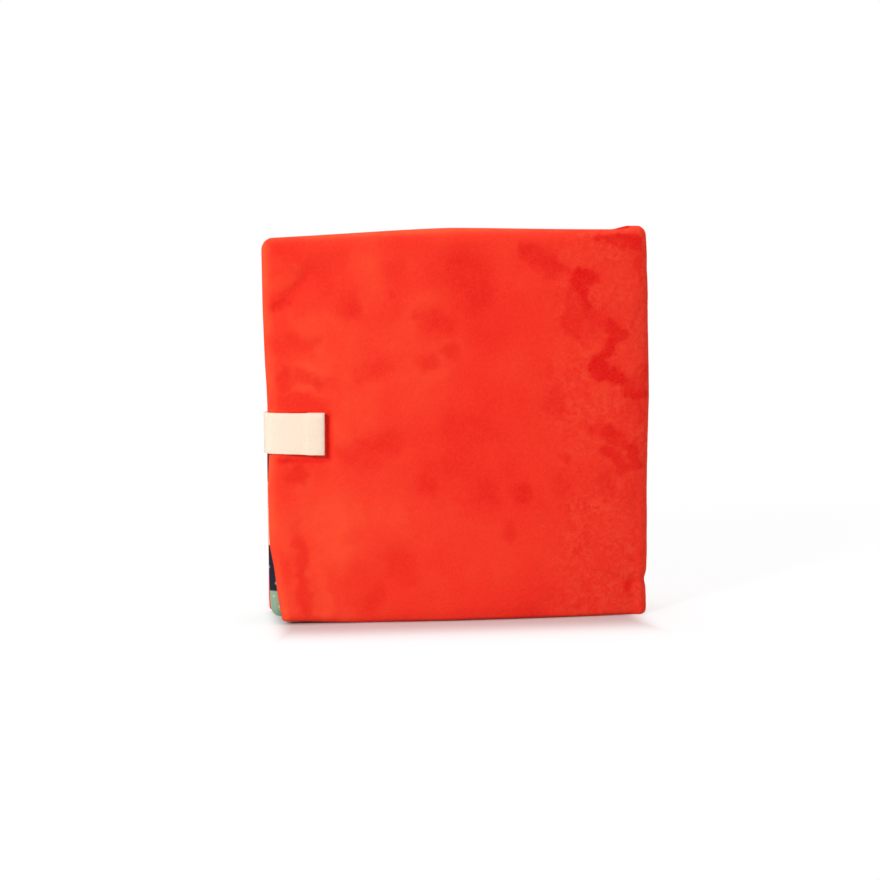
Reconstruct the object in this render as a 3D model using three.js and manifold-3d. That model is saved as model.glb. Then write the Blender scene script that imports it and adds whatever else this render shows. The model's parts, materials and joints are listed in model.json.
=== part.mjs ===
// Baby activity book: a stuffed cloth book with four soft leaves, standing closed on its lower edge.
// Millimetres. +Z is up, the back cover faces -Y, the front cover +Y, the spine +X, the fore-edge -X.
// The origin lies under the middle of the closed book, on the surface that it stands on.
import * as THREE from "three";
import { mergeVertices } from "three/addons/utils/BufferGeometryUtils.js";
import Module from "manifold-3d";

const wasm = await Module();
wasm.setup();

// The closed book
const bookWidth = 221;
const bookHeight = 220;
const bookThickness = 46;
const clearance = 0.3;

// The cover: plush outside, wadding, lining inside
const coverThickness = 8.7;
const coverCrown = 2;
const coverCornerRadius = 5;
const edgeRound = 4.5;
const plushThickness = 2;
const liningThickness = 1;
const footFlat = 0.5;

// How the stuffed book sags: its top slopes to the fore-edge, which leans in at the foot. There the back
// cover is tucked in further and the front cover flares out. Under the strap the back cover is pulled in.
// The stack is slanted, so the front cover lies to the spine side.
const topDroop = 5.5;
const droopPower = 1.2;
const foreEdgeLean = 5;
const footTuck = 6;
const footFlare = 1;
const tuckPower = 1.2;
const footTuckHeight = 80;
const strapPull = 2.6;
const pullHeight = 84;
const pullReach = 26;
const stackSlant = 3;

// The leaves, inset from the cover's edges
const leafCount = 4;
const leafForeInset = 0.5;
const leafFootInset = 3;
const leafTopInset = 4;
const leafCornerRadius = 6;
const leafEdgeRound = 3;
const printThickness = 0.8;
const gutterWidth = 16;
const hingeHemRadius = 1;
const filmThickness = 0.2;

// The squeaker, sealed in the first leaf's wadding
const squeakerRadius = 11;
const squeakerHeight = 3.2;
const squeakerRim = 1.5;
const squeakerRimHeight = 1;
const reedHoleRadius = 1.5;
const squeakerX = 40;
const squeakerZ = 120;

// The closing strap: cotton webbing with a hook patch, which grips a loop patch on the back cover
const webbingWidth = 24;
const webbingThickness = 1.3;
const strapHeight = 108;
const strapReach = 36;
const strapHem = 10;
const strapTilt = 0.02;
const patchThickness = 0.8;
const patchWidth = 22;
const patchInset = 12;
const patchMargin = 1.5;
const pressedPile = 0.7;

// Places that follow from the sizes above
const foreEdgeX = -bookWidth / 2;
const seamX = bookWidth / 2 - coverThickness;
const seamY = bookThickness / 2 - coverThickness;
const edgeDepth = coverThickness - coverCrown;
const coverEndX = seamX - clearance;
const middleZ = bookHeight / 2;
const wadStart = liningThickness + clearance;
const leafPitch = (2 * seamY - clearance) / leafCount;
const leafDepth = (leafPitch - clearance) / 2;
const leafEndX = seamX - clearance;
const strapEndX = foreEdgeX + strapReach;
const hemStartX = strapEndX - strapHem;
const patchStartX = foreEdgeX + patchInset;
const hookEndX = hemStartX - patchMargin;
const loopEndX = strapEndX - patchMargin;

// Heights over the plush where the strap's layers lie: the loop patch is pressed into the pile
const loopBase = clearance - pressedPile;
const hookBase = loopBase + patchThickness + clearance;
const webbingBase = hookBase + patchThickness + clearance;

// How finely the forms are drawn
const fine = { edge: 5, face: 7 };
const plain = { edge: 2, face: 7 };
const bendSteps = 6;
const gutterSteps = 4;
const spineSteps = 4;
const roundSteps = 24;
const sameplace = 1e-4;
const flattened = 1e-7;

const finishes = {
  plush: { color: 0xf83a2a, roughness: 0.95 },
  lining: { color: 0x9db099, roughness: 0.9 },
  print: { color: 0x28304a, roughness: 0.9 },
  wadding: { color: 0xf4f2ec, roughness: 1 },
  webbing: { color: 0xfdecd6, roughness: 0.85 },
  tape: { color: 0xf1e3cf, roughness: 0.8 },
  film: { color: 0xdfe6ea, roughness: 0.3 },
  capsule: { color: 0xf2f2ee, roughness: 0.4 },
};

const { clamp, lerp, smoothstep } = THREE.MathUtils;

// Meshes from point grids

// The triangles of a grid of points, without those that a shared corner flattens to a line.
function gridTriangles(rows) {
  const triangles = [];
  const addTriangle = (...corners) => {
    const [a, b, c] = corners;
    const area = b.clone().sub(a).cross(c.clone().sub(a)).length();
    if (area > flattened) triangles.push(corners);
  };
  for (let i = 0; i + 1 < rows.length; i++) {
    for (let j = 0; j + 1 < rows[i].length; j++) {
      addTriangle(rows[i][j], rows[i][j + 1], rows[i + 1][j + 1]);
      addTriangle(rows[i][j], rows[i + 1][j + 1], rows[i + 1][j]);
    }
  }
  return triangles;
}

// A grid's outer points in order, back to the first.
function perimeter(rows) {
  const last = rows.length - 1;
  const end = rows[0].length - 1;
  return [
    ...rows[0],
    ...rows.slice(1).map((row) => row[end]),
    ...rows[last].slice(0, end).reverse(),
    ...rows.slice(0, last).reverse().map((row) => row[0]),
  ];
}

function geometryOf(triangles) {
  const corners = triangles.flat();
  const geometry = new THREE.BufferGeometry().setFromPoints(corners);
  return mergeVertices(geometry, sameplace);
}

function signedVolume(triangles) {
  return triangles.reduce((sum, [a, b, c]) => sum + a.dot(b.clone().cross(c)) / 6, 0);
}

// The solid between two surfaces whose grids are alike, closed all round their edges.
function between(outer, inner) {
  const triangles = [
    ...gridTriangles(outer),
    ...gridTriangles(inner).map(([a, b, c]) => [a, c, b]),
    ...gridTriangles([perimeter(inner), perimeter(outer)]),
  ];
  const facingOut = signedVolume(triangles) > 0;
  return geometryOf(facingOut ? triangles : triangles.map(([a, b, c]) => [a, c, b]));
}

function solidOf(geometry) {
  const bare = geometry.clone();
  bare.deleteAttribute("normal");
  bare.deleteAttribute("uv");
  const merged = mergeVertices(bare, sameplace);
  const vertProperties = new Float32Array(merged.attributes.position.array);
  const triVerts = new Uint32Array(merged.index.array);
  return new wasm.Manifold(new wasm.Mesh({ numProp: 3, vertProperties, triVerts }));
}

function cutFrom(geometry, tool) {
  const { vertProperties, triVerts } = solidOf(geometry).subtract(solidOf(tool)).getMesh();
  const cut = new THREE.BufferGeometry();
  cut.setAttribute("position", new THREE.BufferAttribute(new Float32Array(vertProperties), 3));
  cut.setIndex(new THREE.BufferAttribute(new Uint32Array(triVerts), 1));
  return cut;
}

// A flat foot where a rounded form stands on the surface.
function withFlatFoot(geometry) {
  const below = new THREE.BoxGeometry(2 * bookWidth, 2 * bookThickness, bookHeight);
  below.translate(0, 0, -bookHeight / 2);
  return cutFrom(geometry, below);
}

// Sagging: every layer of a cover or leaf follows it, so the layers still fit each other
const evenSag = { tuck: 0, pull: 0 };

function settled(x, z, { tuck, pull } = evenSag) {
  const outward = clamp(-x / (bookWidth / 2), 0, 1);
  const up = clamp(z / bookHeight, 0, 1);
  const low = clamp(1 - z / footTuckHeight, 0, 1);
  const beside = Math.exp(-(((z - pullHeight) / pullReach) ** 2));
  const inward = foreEdgeLean * (1 - up) + tuck * low ** tuckPower + pull * beside;
  return {
    x: x + outward * inward,
    z: z - topDroop * outward ** droopPower * up,
  };
}

// Panels, as grids of points { x, z, depth }

const evenly = (from, to, steps) => Array.from({ length: steps + 1 }, (_, i) => lerp(from, to, i / steps));

// Insets from the outline to where the face starts, close together where the edge rolls in.
function edgeInsets(offset, startDepth, round, depth, steps) {
  const startAngle = Math.asin(startDepth / (depth - offset));
  return evenly(startAngle, Math.PI / 2, steps).map((angle) => round - (round - offset) * Math.cos(angle));
}

// Square rings of a corner become round ones, so a point keeps its distance from the outline.
function roundCorner(a, b, radius) {
  if (a >= radius || b >= radius) return [a, b];
  const [p, q] = [radius - a, radius - b];
  const ring = Math.max(p, q);
  const turn = p >= q ? (Math.PI / 4) * (q / p) : Math.PI / 2 - (Math.PI / 4) * (p / q);
  return [radius - ring * Math.cos(turn), radius - ring * Math.sin(turn)];
}

// A grid over a panel's outline. The spine side is left square where the panel goes on past it.
function panelGrid(xLines, zLines, outline, depthAt) {
  const { left, right, foot, top, radius, spineOpen } = outline;
  return xLines.map((x) =>
    zLines.map((z) => {
      const atSpine = !spineOpen && right - x < x - left;
      const atTop = top - z < z - foot;
      const across = atSpine ? right - x : x - left;
      const up = atTop ? top - z : z - foot;
      const [a, b] = roundCorner(across, up, radius);
      const point = { x: atSpine ? right - a : left + a, z: atTop ? top - b : foot + b };
      return { ...point, depth: depthAt(Math.min(across, up), x, z) };
    }),
  );
}

const atDepth = (rows, depth) => rows.map((row) => row.map((p) => ({ ...p, depth })));

// The cover

const coverOutline = {
  left: foreEdgeX,
  right: coverEndX,
  foot: -footFlat,
  top: bookHeight,
  radius: coverCornerRadius,
  spineOpen: true,
};

function crownAt(x, z) {
  const across = clamp((coverEndX - x) / (coverEndX - foreEdgeX - edgeRound), 0, 1);
  const up = clamp(Math.abs(z - middleZ) / (middleZ - edgeRound), 0, 1);
  return coverCrown * (1 - across ** 2) * (1 - up ** 2);
}

// The cover's face, or a layer at a distance from it: the sewn edge rolls in as a quarter ellipse,
// and from there the face rises to a crown.
function coverSurface(offset, startDepth, steps) {
  const insets = edgeInsets(offset, startDepth, edgeRound, edgeDepth, steps.edge);
  const { left, right, foot, top } = coverOutline;
  const faceZ = evenly(foot + edgeRound, top - edgeRound, steps.face).slice(1, -1);
  const faceX = evenly(right, left + edgeRound, steps.face).slice(0, -1);
  const zLines = [...insets.map((i) => foot + i), ...faceZ, ...insets.map((i) => top - i).reverse()];
  const xLines = [...faceX, ...insets.map((i) => left + i).reverse()];
  const depthAt = (inset, x, z) => {
    const reach = clamp((edgeRound - inset) / (edgeRound - offset), 0, 1);
    return (edgeDepth - offset) * Math.sqrt(1 - reach ** 2) + crownAt(x, z);
  };
  return panelGrid(xLines, zLines, coverOutline, depthAt);
}

// How deep the plush lies under the strap, measured from the seam plane.
const plushDepthAt = (x) => edgeDepth + crownAt(x, middleZ);

// The layers of a cover panel. side is -1 for the back cover and 1 for the front cover.
function coverPanel(side, sag) {
  const place = (rows) =>
    rows.map((row) =>
      row.map((p) => {
        const { x, z } = settled(p.x, p.z, sag);
        return new THREE.Vector3(x, side * (seamY + p.depth), z);
      }),
    );
  const face = coverSurface(0, 0, fine);
  const underside = coverSurface(plushThickness, 0, fine);
  const wad = coverSurface(plushThickness + clearance, wadStart, plain);
  const lining = coverSurface(plushThickness + clearance, 0, plain);
  return {
    plush: withFlatFoot(between(place(face), place(underside))),
    wadding: between(place(wad), place(atDepth(wad, wadStart))),
    lining: between(place(atDepth(lining, liningThickness)), place(atDepth(lining, 0))),
  };
}

// The spine carries the cover's section on, from the foot over the face to the top.
function spineSolid(outer, inner) {
  const widths = evenly(-seamY + clearance, seamY - clearance, spineSteps);
  const place = (section) =>
    widths.map((y) => section.map((p) => new THREE.Vector3(seamX + p.depth, y, p.z)));
  return between(place(outer), place(inner));
}

// A fold turns the section a quarter round between a cover and the spine.
function foldSolid(side, outer, inner) {
  const place = (section) =>
    evenly(0, Math.PI / 2, bendSteps).map((angle) =>
      section.map((p) => {
        const x = seamX + p.depth * Math.sin(angle);
        const y = side * (seamY + p.depth * Math.cos(angle));
        return new THREE.Vector3(x, y, p.z);
      }),
    );
  return withFlatFoot(between(place(outer), place(inner)));
}

// The leaves: two printed faces sewn together at their edges, thin at the gutter, wadding between

function leafGrid(offset, steps, depthAt) {
  const insets = edgeInsets(offset, 0, leafEdgeRound, leafDepth, steps.edge);
  const left = foreEdgeX + leafForeInset;
  const foot = leafFootInset;
  const top = bookHeight - leafTopInset;
  const gutter = evenly(leafEdgeRound, gutterWidth, gutterSteps).slice(1);
  const face = evenly(leafEndX - gutterWidth, left + leafEdgeRound, steps.face).slice(1, -1);
  const sewn = [...insets, ...gutter].map((i) => leafEndX - i);
  const xLines = [...sewn, ...face, ...insets.map((i) => left + i).reverse()];
  const zLines = [...insets.map((i) => foot + i), ...insets.map((i) => top - i).reverse()];
  return panelGrid(xLines, zLines, { left, right: leafEndX, foot, top, radius: leafCornerRadius }, depthAt);
}

function leafPlace(rows, side) {
  return rows.map((row) =>
    row.map((p) => {
      const { x, z } = settled(p.x, p.z);
      return new THREE.Vector3(x, side * p.depth, z);
    }),
  );
}

function leafPrint(side) {
  const rim = clearance / 2;
  const surface = (offset) =>
    leafGrid(offset, plain, (inset, x) => {
      const reach = clamp((leafEdgeRound - inset) / (leafEdgeRound - offset), 0, 1);
      const filled = smoothstep(leafEndX - leafEdgeRound - x, 0, gutterWidth - leafEdgeRound);
      const full = lerp(hingeHemRadius, leafDepth, filled);
      return Math.max(rim + (full - rim - offset) * Math.sqrt(1 - reach ** 2), rim);
    });
  return between(leafPlace(surface(0), side), leafPlace(surface(printThickness), side));
}

// A flat layer inside a leaf, between two depths measured from the leaf's middle.
function leafLayer(low, high) {
  const inset = leafEdgeRound + clearance;
  const left = foreEdgeX + leafForeInset + inset;
  const right = leafEndX - gutterWidth;
  const foot = leafFootInset + inset;
  const top = bookHeight - leafTopInset - inset;
  const radius = leafCornerRadius - inset;
  const roll = evenly(0, radius, 2);
  const zLines = [...roll.map((r) => foot + r), ...roll.map((r) => top - r).reverse()];
  const face = evenly(right, left + radius, plain.face).slice(0, -1);
  const xLines = [...face, ...roll.map((r) => left + r).reverse()];
  const rows = panelGrid(xLines, zLines, { left, right, foot, top, radius, spineOpen: true }, () => high);
  return between(leafPlace(rows, 1), leafPlace(atDepth(rows, low), 1));
}

// Squeaker: a thin round capsule with a rim and a reed hole through its middle
function squeakerShape() {
  const half = squeakerHeight / 2;
  const rimHalf = squeakerRimHeight / 2;
  const profile = [
    [reedHoleRadius, -half],
    [squeakerRadius - squeakerRim, -half],
    [squeakerRadius - squeakerRim, -rimHalf],
    [squeakerRadius, -rimHalf],
    [squeakerRadius, rimHalf],
    [squeakerRadius - squeakerRim, rimHalf],
    [squeakerRadius - squeakerRim, half],
    [reedHoleRadius, half],
    [reedHoleRadius, -half],
  ];
  return new THREE.LatheGeometry(profile.map(([r, h]) => new THREE.Vector2(r, h)), roundSteps);
}

// The strap in plan: a ribbon along a line of points, raised to the webbing's width and tilted a little
function ribbon(points, thickness, width) {
  const offset = (share) =>
    points.map((p, i) => {
      const before = points[Math.max(i - 1, 0)];
      const after = points[Math.min(i + 1, points.length - 1)];
      const along = after.clone().sub(before).normalize();
      return new THREE.Vector2(p.x - along.y * thickness * share, p.y + along.x * thickness * share);
    });
  const outline = new THREE.Shape([...offset(0.5), ...offset(-0.5).reverse()]);
  const strip = new THREE.ExtrudeGeometry(outline, { depth: width, bevelEnabled: false });
  strip.translate(0, 0, strapHeight - width / 2);
  const position = strip.attributes.position;
  for (let i = 0; i < position.count; i++) {
    position.setZ(i, position.getZ(i) - strapTilt * (position.getX(i) - foreEdgeX));
  }
  return strip;
}

// A point of the strap's middle line over the back cover, at a height over the plush.
const onCover = (x, lift) => new THREE.Vector2(x, -(seamY + plushDepthAt(x) + lift));

// The cover's edge beside the strap's upper side, where it reaches furthest out.
const strapEdge = settled(foreEdgeX, strapHeight + webbingWidth / 2);
const halfWebbing = webbingThickness / 2;
const strapX = strapEdge.x - clearance - halfWebbing;
const strapRootX = strapEdge.x + plushThickness / 2;

// From the front cover's sewn edge across the leaves to the back cover's edge.
function strapBridge() {
  const root = seamY - clearance;
  const bend = new THREE.CubicBezierCurve(
    new THREE.Vector2(strapRootX, root),
    new THREE.Vector2(strapRootX, root - edgeRound / 2),
    new THREE.Vector2(strapX, root - edgeRound / 2),
    new THREE.Vector2(strapX, root - edgeRound),
  );
  const points = [...bend.getPoints(bendSteps), new THREE.Vector2(strapX, -root)];
  return ribbon(points, webbingThickness, webbingWidth);
}

// Round the back cover's edge, over the hook patch, to an end folded under as a hem.
function strapTab() {
  const points = evenly(0, Math.PI / 2, bendSteps).map((angle) => {
    const x = strapEdge.x + edgeRound - (edgeRound + clearance + halfWebbing) * Math.cos(angle);
    return new THREE.Vector2(x, -seamY - (edgeDepth + clearance + halfWebbing) * Math.sin(angle));
  });
  const turnRadius = (webbingThickness + clearance) / 2;
  const hemLift = hookBase + halfWebbing;
  points.push(onCover(patchStartX - halfWebbing, webbingBase + halfWebbing));
  points.push(onCover(hookEndX, webbingBase + halfWebbing));
  points.push(onCover(hemStartX, hemLift + 2 * turnRadius));
  const turn = onCover(strapEndX - turnRadius - halfWebbing, hemLift + turnRadius);
  for (const angle of evenly(-Math.PI / 2, Math.PI / 2, bendSteps)) {
    const step = new THREE.Vector2(Math.cos(angle), Math.sin(angle)).multiplyScalar(turnRadius);
    points.push(turn.clone().add(step));
  }
  points.push(onCover(hemStartX, hemLift));
  return ribbon(points, webbingThickness, webbingWidth);
}

// A patch that follows the cover's face between two places, its underside at a height over the plush.
function patch(startX, endX, base, thickness, width) {
  const points = evenly(startX, endX, 2).map((x) => onCover(x, base + thickness / 2));
  return ribbon(points, thickness, width);
}

// The hollow that the loop patch presses into the pile, open to the outside.
function pressedHollow() {
  const start = patchStartX - clearance;
  const end = loopEndX + clearance;
  return patch(start, end, -pressedPile, 2 * pressedPile, patchWidth + 2 * clearance);
}

// The assembly: one group for each part that moves by itself

const book = new THREE.Group();

const slantAt = (y) => (stackSlant * y) / bookThickness;

function group(parent, y = 0) {
  const made = new THREE.Group();
  made.position.set(slantAt(y), y, 0);
  parent.add(made);
  return made;
}

function addMesh(parent, name, geometry, finish) {
  const shape = geometry.index ? geometry.toNonIndexed() : geometry;
  const position = shape.attributes.position;
  for (let i = 0; i < position.count; i++) {
    position.setX(i, position.getX(i) + slantAt(position.getY(i)));
  }
  shape.computeVertexNormals();
  const mesh = new THREE.Mesh(shape, new THREE.MeshStandardMaterial({ ...finishes[finish], metalness: 0 }));
  mesh.name = name;
  parent.add(mesh);
}

// Spine, and the folds that join the covers to it
const [sectionFace] = coverSurface(0, 0, fine);
const [sectionUnderside] = coverSurface(plushThickness, 0, fine);
const [sectionWad] = coverSurface(plushThickness + clearance, wadStart, plain);
const [sectionLining] = coverSurface(plushThickness + clearance, 0, plain);
const levelled = (section, depth) => section.map((p) => ({ ...p, depth }));
const spine = group(book);
addMesh(spine, "spine_plush", withFlatFoot(spineSolid(sectionFace, sectionUnderside)), "plush");
addMesh(spine, "spine_wadding", spineSolid(sectionWad, levelled(sectionWad, wadStart)), "wadding");
const liningLayers = [liningThickness, 0].map((depth) => levelled(sectionLining, depth));
addMesh(spine, "spine_lining", spineSolid(...liningLayers), "lining");
addMesh(spine, "back_fold_plush", foldSolid(-1, sectionFace, sectionUnderside), "plush");
addMesh(spine, "front_fold_plush", foldSolid(1, sectionFace, sectionUnderside), "plush");

// Covers
const backPanel = coverPanel(-1, { tuck: footTuck, pull: strapPull });
const backCover = group(book);
addMesh(backCover, "back_cover_plush", cutFrom(backPanel.plush, pressedHollow()), "plush");
addMesh(backCover, "back_cover_wadding", backPanel.wadding, "wadding");
addMesh(backCover, "back_cover_lining", backPanel.lining, "lining");
const loopPatch = patch(patchStartX, loopEndX, loopBase, patchThickness, patchWidth);
addMesh(backCover, "cover_loop_patch", loopPatch, "tape");

const frontPanel = coverPanel(1, { tuck: -footFlare, pull: 0 });
const frontCover = group(book);
addMesh(frontCover, "front_cover_plush", frontPanel.plush, "plush");
addMesh(frontCover, "front_cover_wadding", frontPanel.wadding, "wadding");
addMesh(frontCover, "front_cover_lining", frontPanel.lining, "lining");

// Leaves, counted from the front cover: the first holds the squeaker, every second one a crinkle film
const wadDepth = leafDepth - printThickness - 2 * clearance;
for (let n = 1; n <= leafCount; n++) {
  const leaf = group(book, seamY - clearance / 2 - leafPitch * (n - 0.5));
  addMesh(leaf, `leaf_${n}_front_print`, leafPrint(1), "print");
  addMesh(leaf, `leaf_${n}_back_print`, leafPrint(-1), "print");
  const holdsFilm = n % 2 === 0;
  const filmStart = wadDepth - filmThickness;
  const wadding = leafLayer(-wadDepth, holdsFilm ? filmStart - clearance : wadDepth);
  if (holdsFilm) addMesh(leaf, `leaf_${n}_crinkle_film`, leafLayer(filmStart, wadDepth), "film");
  if (n === 1) {
    const pocketRadius = squeakerRadius + clearance;
    const pocket = new THREE.CylinderGeometry(pocketRadius, pocketRadius, 2 * leafPitch, roundSteps);
    pocket.translate(squeakerX, 0, squeakerZ);
    addMesh(leaf, `leaf_${n}_wadding`, cutFrom(wadding, pocket), "wadding");
    addMesh(leaf, "squeaker", squeakerShape().translate(squeakerX, 0, squeakerZ), "capsule");
  } else {
    addMesh(leaf, `leaf_${n}_wadding`, wadding, "wadding");
  }
}

// Strap
const strap = group(frontCover);
const strapEnd = group(strap);
addMesh(strap, "strap_bridge", strapBridge(), "webbing");
addMesh(strapEnd, "strap_tab", strapTab(), "webbing");
const hookPatch = patch(patchStartX, hookEndX, hookBase, patchThickness, patchWidth);
addMesh(strapEnd, "strap_hook_patch", hookPatch, "tape");

export default book;
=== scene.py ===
"""Baby activity book: the looks of a stuffed cloth book, built round its packed frame.

The plush covers, printed leaves, linings, fillings and closing strap are modelled at the frame's sizes.
Metres, +Z up. The back cover faces -Y, the front cover +Y, the spine +X and the fore-edge -X.
"""

import json
import math

import bmesh
import bpy
import numpy as np
from bpy.props import FloatProperty, FloatVectorProperty, PointerProperty
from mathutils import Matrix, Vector, noise


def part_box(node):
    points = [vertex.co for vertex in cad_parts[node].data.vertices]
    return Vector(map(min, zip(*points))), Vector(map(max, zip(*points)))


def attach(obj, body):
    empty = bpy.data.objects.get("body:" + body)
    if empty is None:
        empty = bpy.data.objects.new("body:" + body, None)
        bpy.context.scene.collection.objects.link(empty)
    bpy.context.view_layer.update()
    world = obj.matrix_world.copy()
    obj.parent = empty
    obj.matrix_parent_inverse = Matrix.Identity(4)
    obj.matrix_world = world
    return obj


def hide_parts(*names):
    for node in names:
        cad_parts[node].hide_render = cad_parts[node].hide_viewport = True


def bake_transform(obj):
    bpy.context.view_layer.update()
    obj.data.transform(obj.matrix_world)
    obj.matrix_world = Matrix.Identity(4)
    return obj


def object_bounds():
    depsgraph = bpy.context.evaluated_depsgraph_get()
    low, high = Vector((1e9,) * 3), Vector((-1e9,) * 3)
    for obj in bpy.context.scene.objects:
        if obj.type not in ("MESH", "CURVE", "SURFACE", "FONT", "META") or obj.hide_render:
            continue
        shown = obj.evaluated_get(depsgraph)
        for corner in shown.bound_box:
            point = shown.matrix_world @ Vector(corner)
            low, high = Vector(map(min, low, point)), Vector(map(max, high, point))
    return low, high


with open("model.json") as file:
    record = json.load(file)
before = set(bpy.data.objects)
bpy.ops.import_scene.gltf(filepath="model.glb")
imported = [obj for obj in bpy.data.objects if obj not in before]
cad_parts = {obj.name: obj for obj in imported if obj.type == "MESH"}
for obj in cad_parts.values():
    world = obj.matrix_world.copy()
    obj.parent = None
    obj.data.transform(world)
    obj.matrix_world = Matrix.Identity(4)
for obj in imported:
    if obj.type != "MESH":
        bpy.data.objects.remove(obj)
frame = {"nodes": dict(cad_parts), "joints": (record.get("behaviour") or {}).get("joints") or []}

bl_info = {
    "name": "Baby activity book",
    "version": (1, 0, 0),
    "blender": (4, 5, 0),
    "location": "3D View > Sidebar > Activity book",
    "description": "Models a stuffed cloth book with plush covers, printed leaves and a webbing strap",
    "category": "Object",
}

MM = 0.001
CAD_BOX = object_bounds()

# Places that come from the frame
LINING_LOW, LINING_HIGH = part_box("back_cover_lining")
SPINE_LOW, SPINE_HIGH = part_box("spine_lining")
STRAP_LOW, STRAP_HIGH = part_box("strap_bridge")
PATCH_LOW, PATCH_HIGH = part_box("cover_loop_patch")
JOINTS = {joint["name"]: joint for joint in frame["joints"]}
BACK_HINGE = Vector(JOINTS["back_cover_open"]["pos_m"])
FRONT_HINGE = Vector(JOINTS["front_cover_open"]["pos_m"])
STRAP_HINGE = Vector(JOINTS["strap_open"]["pos_m"])
STRAP_BEND = Vector(JOINTS["strap_straighten"]["pos_m"])

HEIGHT = CAD_BOX[1].z
SLANT = (FRONT_HINGE.x - BACK_HINGE.x) / (FRONT_HINGE.y - BACK_HINGE.y)
LINING = LINING_HIGH.y - LINING_LOW.y
SEAM_Y = -LINING_HIGH.y
SEAM_X = (SPINE_LOW.x + SPINE_HIGH.x - LINING) / 2
STRAP_Z = (STRAP_LOW.z + STRAP_HIGH.z) / 2
STRAP_TILT = 0.02
WEBBING_LIFT = 1.8 * MM
PILE_PRESS = 0.9 * MM

# The pads of wadding, the print and the cloth simulation
PAD_FOOT, PAD_TOP, PAD_CELL = 2.4 * MM, HEIGHT - 2.6 * MM, 9 * MM
PRINT_EDGE = 0.4 * MM
PUFF_STEPS = 20

# The leaves, counted from the front cover, as they lie before they sag
LEAF_NUMBERS = (1, 2, 3, 4)
LEAF_JOINTS = [JOINTS[f"leaf_{number}_turn"] for number in LEAF_NUMBERS]
LEAF_Y = [joint["pos_m"][1] for joint in LEAF_JOINTS]
LEAF_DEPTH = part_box("leaf_1_front_print")[1].y - LEAF_Y[0]
HEM_RADIUS = 1 * MM
HEM_X = LEAF_JOINTS[0]["pos_m"][0] - SLANT * LEAF_Y[0] + HEM_RADIUS
FILM_LEAVES = [number for number in LEAF_NUMBERS if f"leaf_{number}_crinkle_film" in frame["nodes"]]
SQUEAKER_LEAF = 1


def srgb(red, green, blue):
    """A colour given as 0 to 255, as Blender's linear values."""
    shares = [value / 255 for value in (red, green, blue)]
    return tuple(s / 12.92 if s <= 0.04045 else ((s + 0.055) / 1.055) ** 2.4 for s in shares)


def length(name, description, millimetres):
    return FloatProperty(name=name, description=description, default=millimetres * MM, unit="LENGTH")


def angle(name, description, degrees):
    return FloatProperty(name=name, description=description, default=math.radians(degrees), unit="ROTATION")


def power(name, description, watts):
    return FloatProperty(name=name, description=description, default=watts, min=0, unit="POWER")


def colour(name, description, *value):
    return FloatVectorProperty(name=name, description=description, default=srgb(*value), subtype="COLOR", size=3)


class BookSizes(bpy.types.PropertyGroup):
    """Sizes of the whole book and how it sags."""

    width: length("Cover width", "From the spine's outside to the fore-edge", 221)
    cover: length("Cover thickness", "A cover at its edge, from the lining to the plush", 6.7)
    crown: length("Crown", "How much further the middle of a cover stands out", 2)
    edge_roll: length("Edge roll", "Radius of the rolled, sewn edge", 4.2)
    foot_roll: length("Foot roll", "Radius of the lower edge, pressed flat by the book's weight", 1.9)
    spine_foot_roll: length("Spine foot roll", "Radius of the lower edge at the spine", 0.5)
    corner: length("Corner", "Radius of the upper corners", 5)
    foot_corner: length("Foot corner", "Radius of the lower corners", 1.4)
    droop: length("Droop", "How far the top slopes down to the fore-edge", 5)
    lump: length("Lumps", "Height of the filling's unevenness under the plush", 0.55)
    corner_rise: length("Corner rise", "How far the upper corner at the spine stands up", 2.2)
    top_rise: length("Top rise", "How far the middle of the top stands up", 1.0)
    foot_bulge: length("Foot bulge", "How far the middle of a cover's foot stands out", 3.4)
    foot_lift: length("Foot lift", "How far a cover's foot is lifted at the fore-edge", 1.7)
    plush_cloth: length("Plush cloth", "Thickness of the plush with its pile", 1.7)
    lining_inset: length("Lining inset", "From the cover's outline to the lining's edge", 2)
    growth: length("Growth", "How much larger a cover starts, as smoothing draws its edges in", 0.9)
    fold_turn: length("Fold turn", "How far a cover's face falls back towards the spine", 2.6)
    turn_reach: length("Turn reach", "How far from the spine the face starts to fall back", 38)


class LeafSizes(bpy.types.PropertyGroup):
    """Sizes of the stuffed leaves."""

    roll: length("Edge roll", "How far in from its seam a leaf reaches full thickness", 7)
    corner: length("Corner", "Radius of a leaf's corners", 6)
    seam: length("Seam", "Thickness of the sewn edge", 0.9)
    hem: length("Hem", "Width of the flat sewn edge", 1.3)
    cloth: length("Cloth", "Thickness of the printed cloth", 0.35)
    gutter: length("Gutter", "How far in from the spine a leaf is full", 16)
    fore_inset: length("Fore inset", "From the covers' fore-edge to a leaf's", 0.5)
    foot_inset: length("Foot inset", "From the book's foot to a leaf's", 3)
    top_inset: length("Top inset", "From the book's top to a leaf's", 4)
    ground: length("Ground", "Height of the printed ground band", 18)
    hill: length("Hill", "Height of the printed hill band", 44)
    # The bush is a navy blot printed just under the strap at the fore-edge: painted shadow of the strap.
    painted_strap_shadow: length("Bush", "Height of the printed bush at the fore-edge", 88)
    painted_strap_shadow_x: length("Bush place", "Where the printed bush stands, from the middle of the leaf", -107)


class StrapSizes(bpy.types.PropertyGroup):
    """Sizes of the webbing strap."""

    width: length("Width", "Width of the webbing", 24)
    thickness: length("Thickness", "Thickness of the webbing", 1.3)
    reach: length("Reach", "From the fore-edge to the strap's folded end", 35.4)
    thread: length("Thread", "Diameter of the sewing thread", 0.36)
    stitch: length("Stitch", "Length of a stitch", 2.4)


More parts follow.
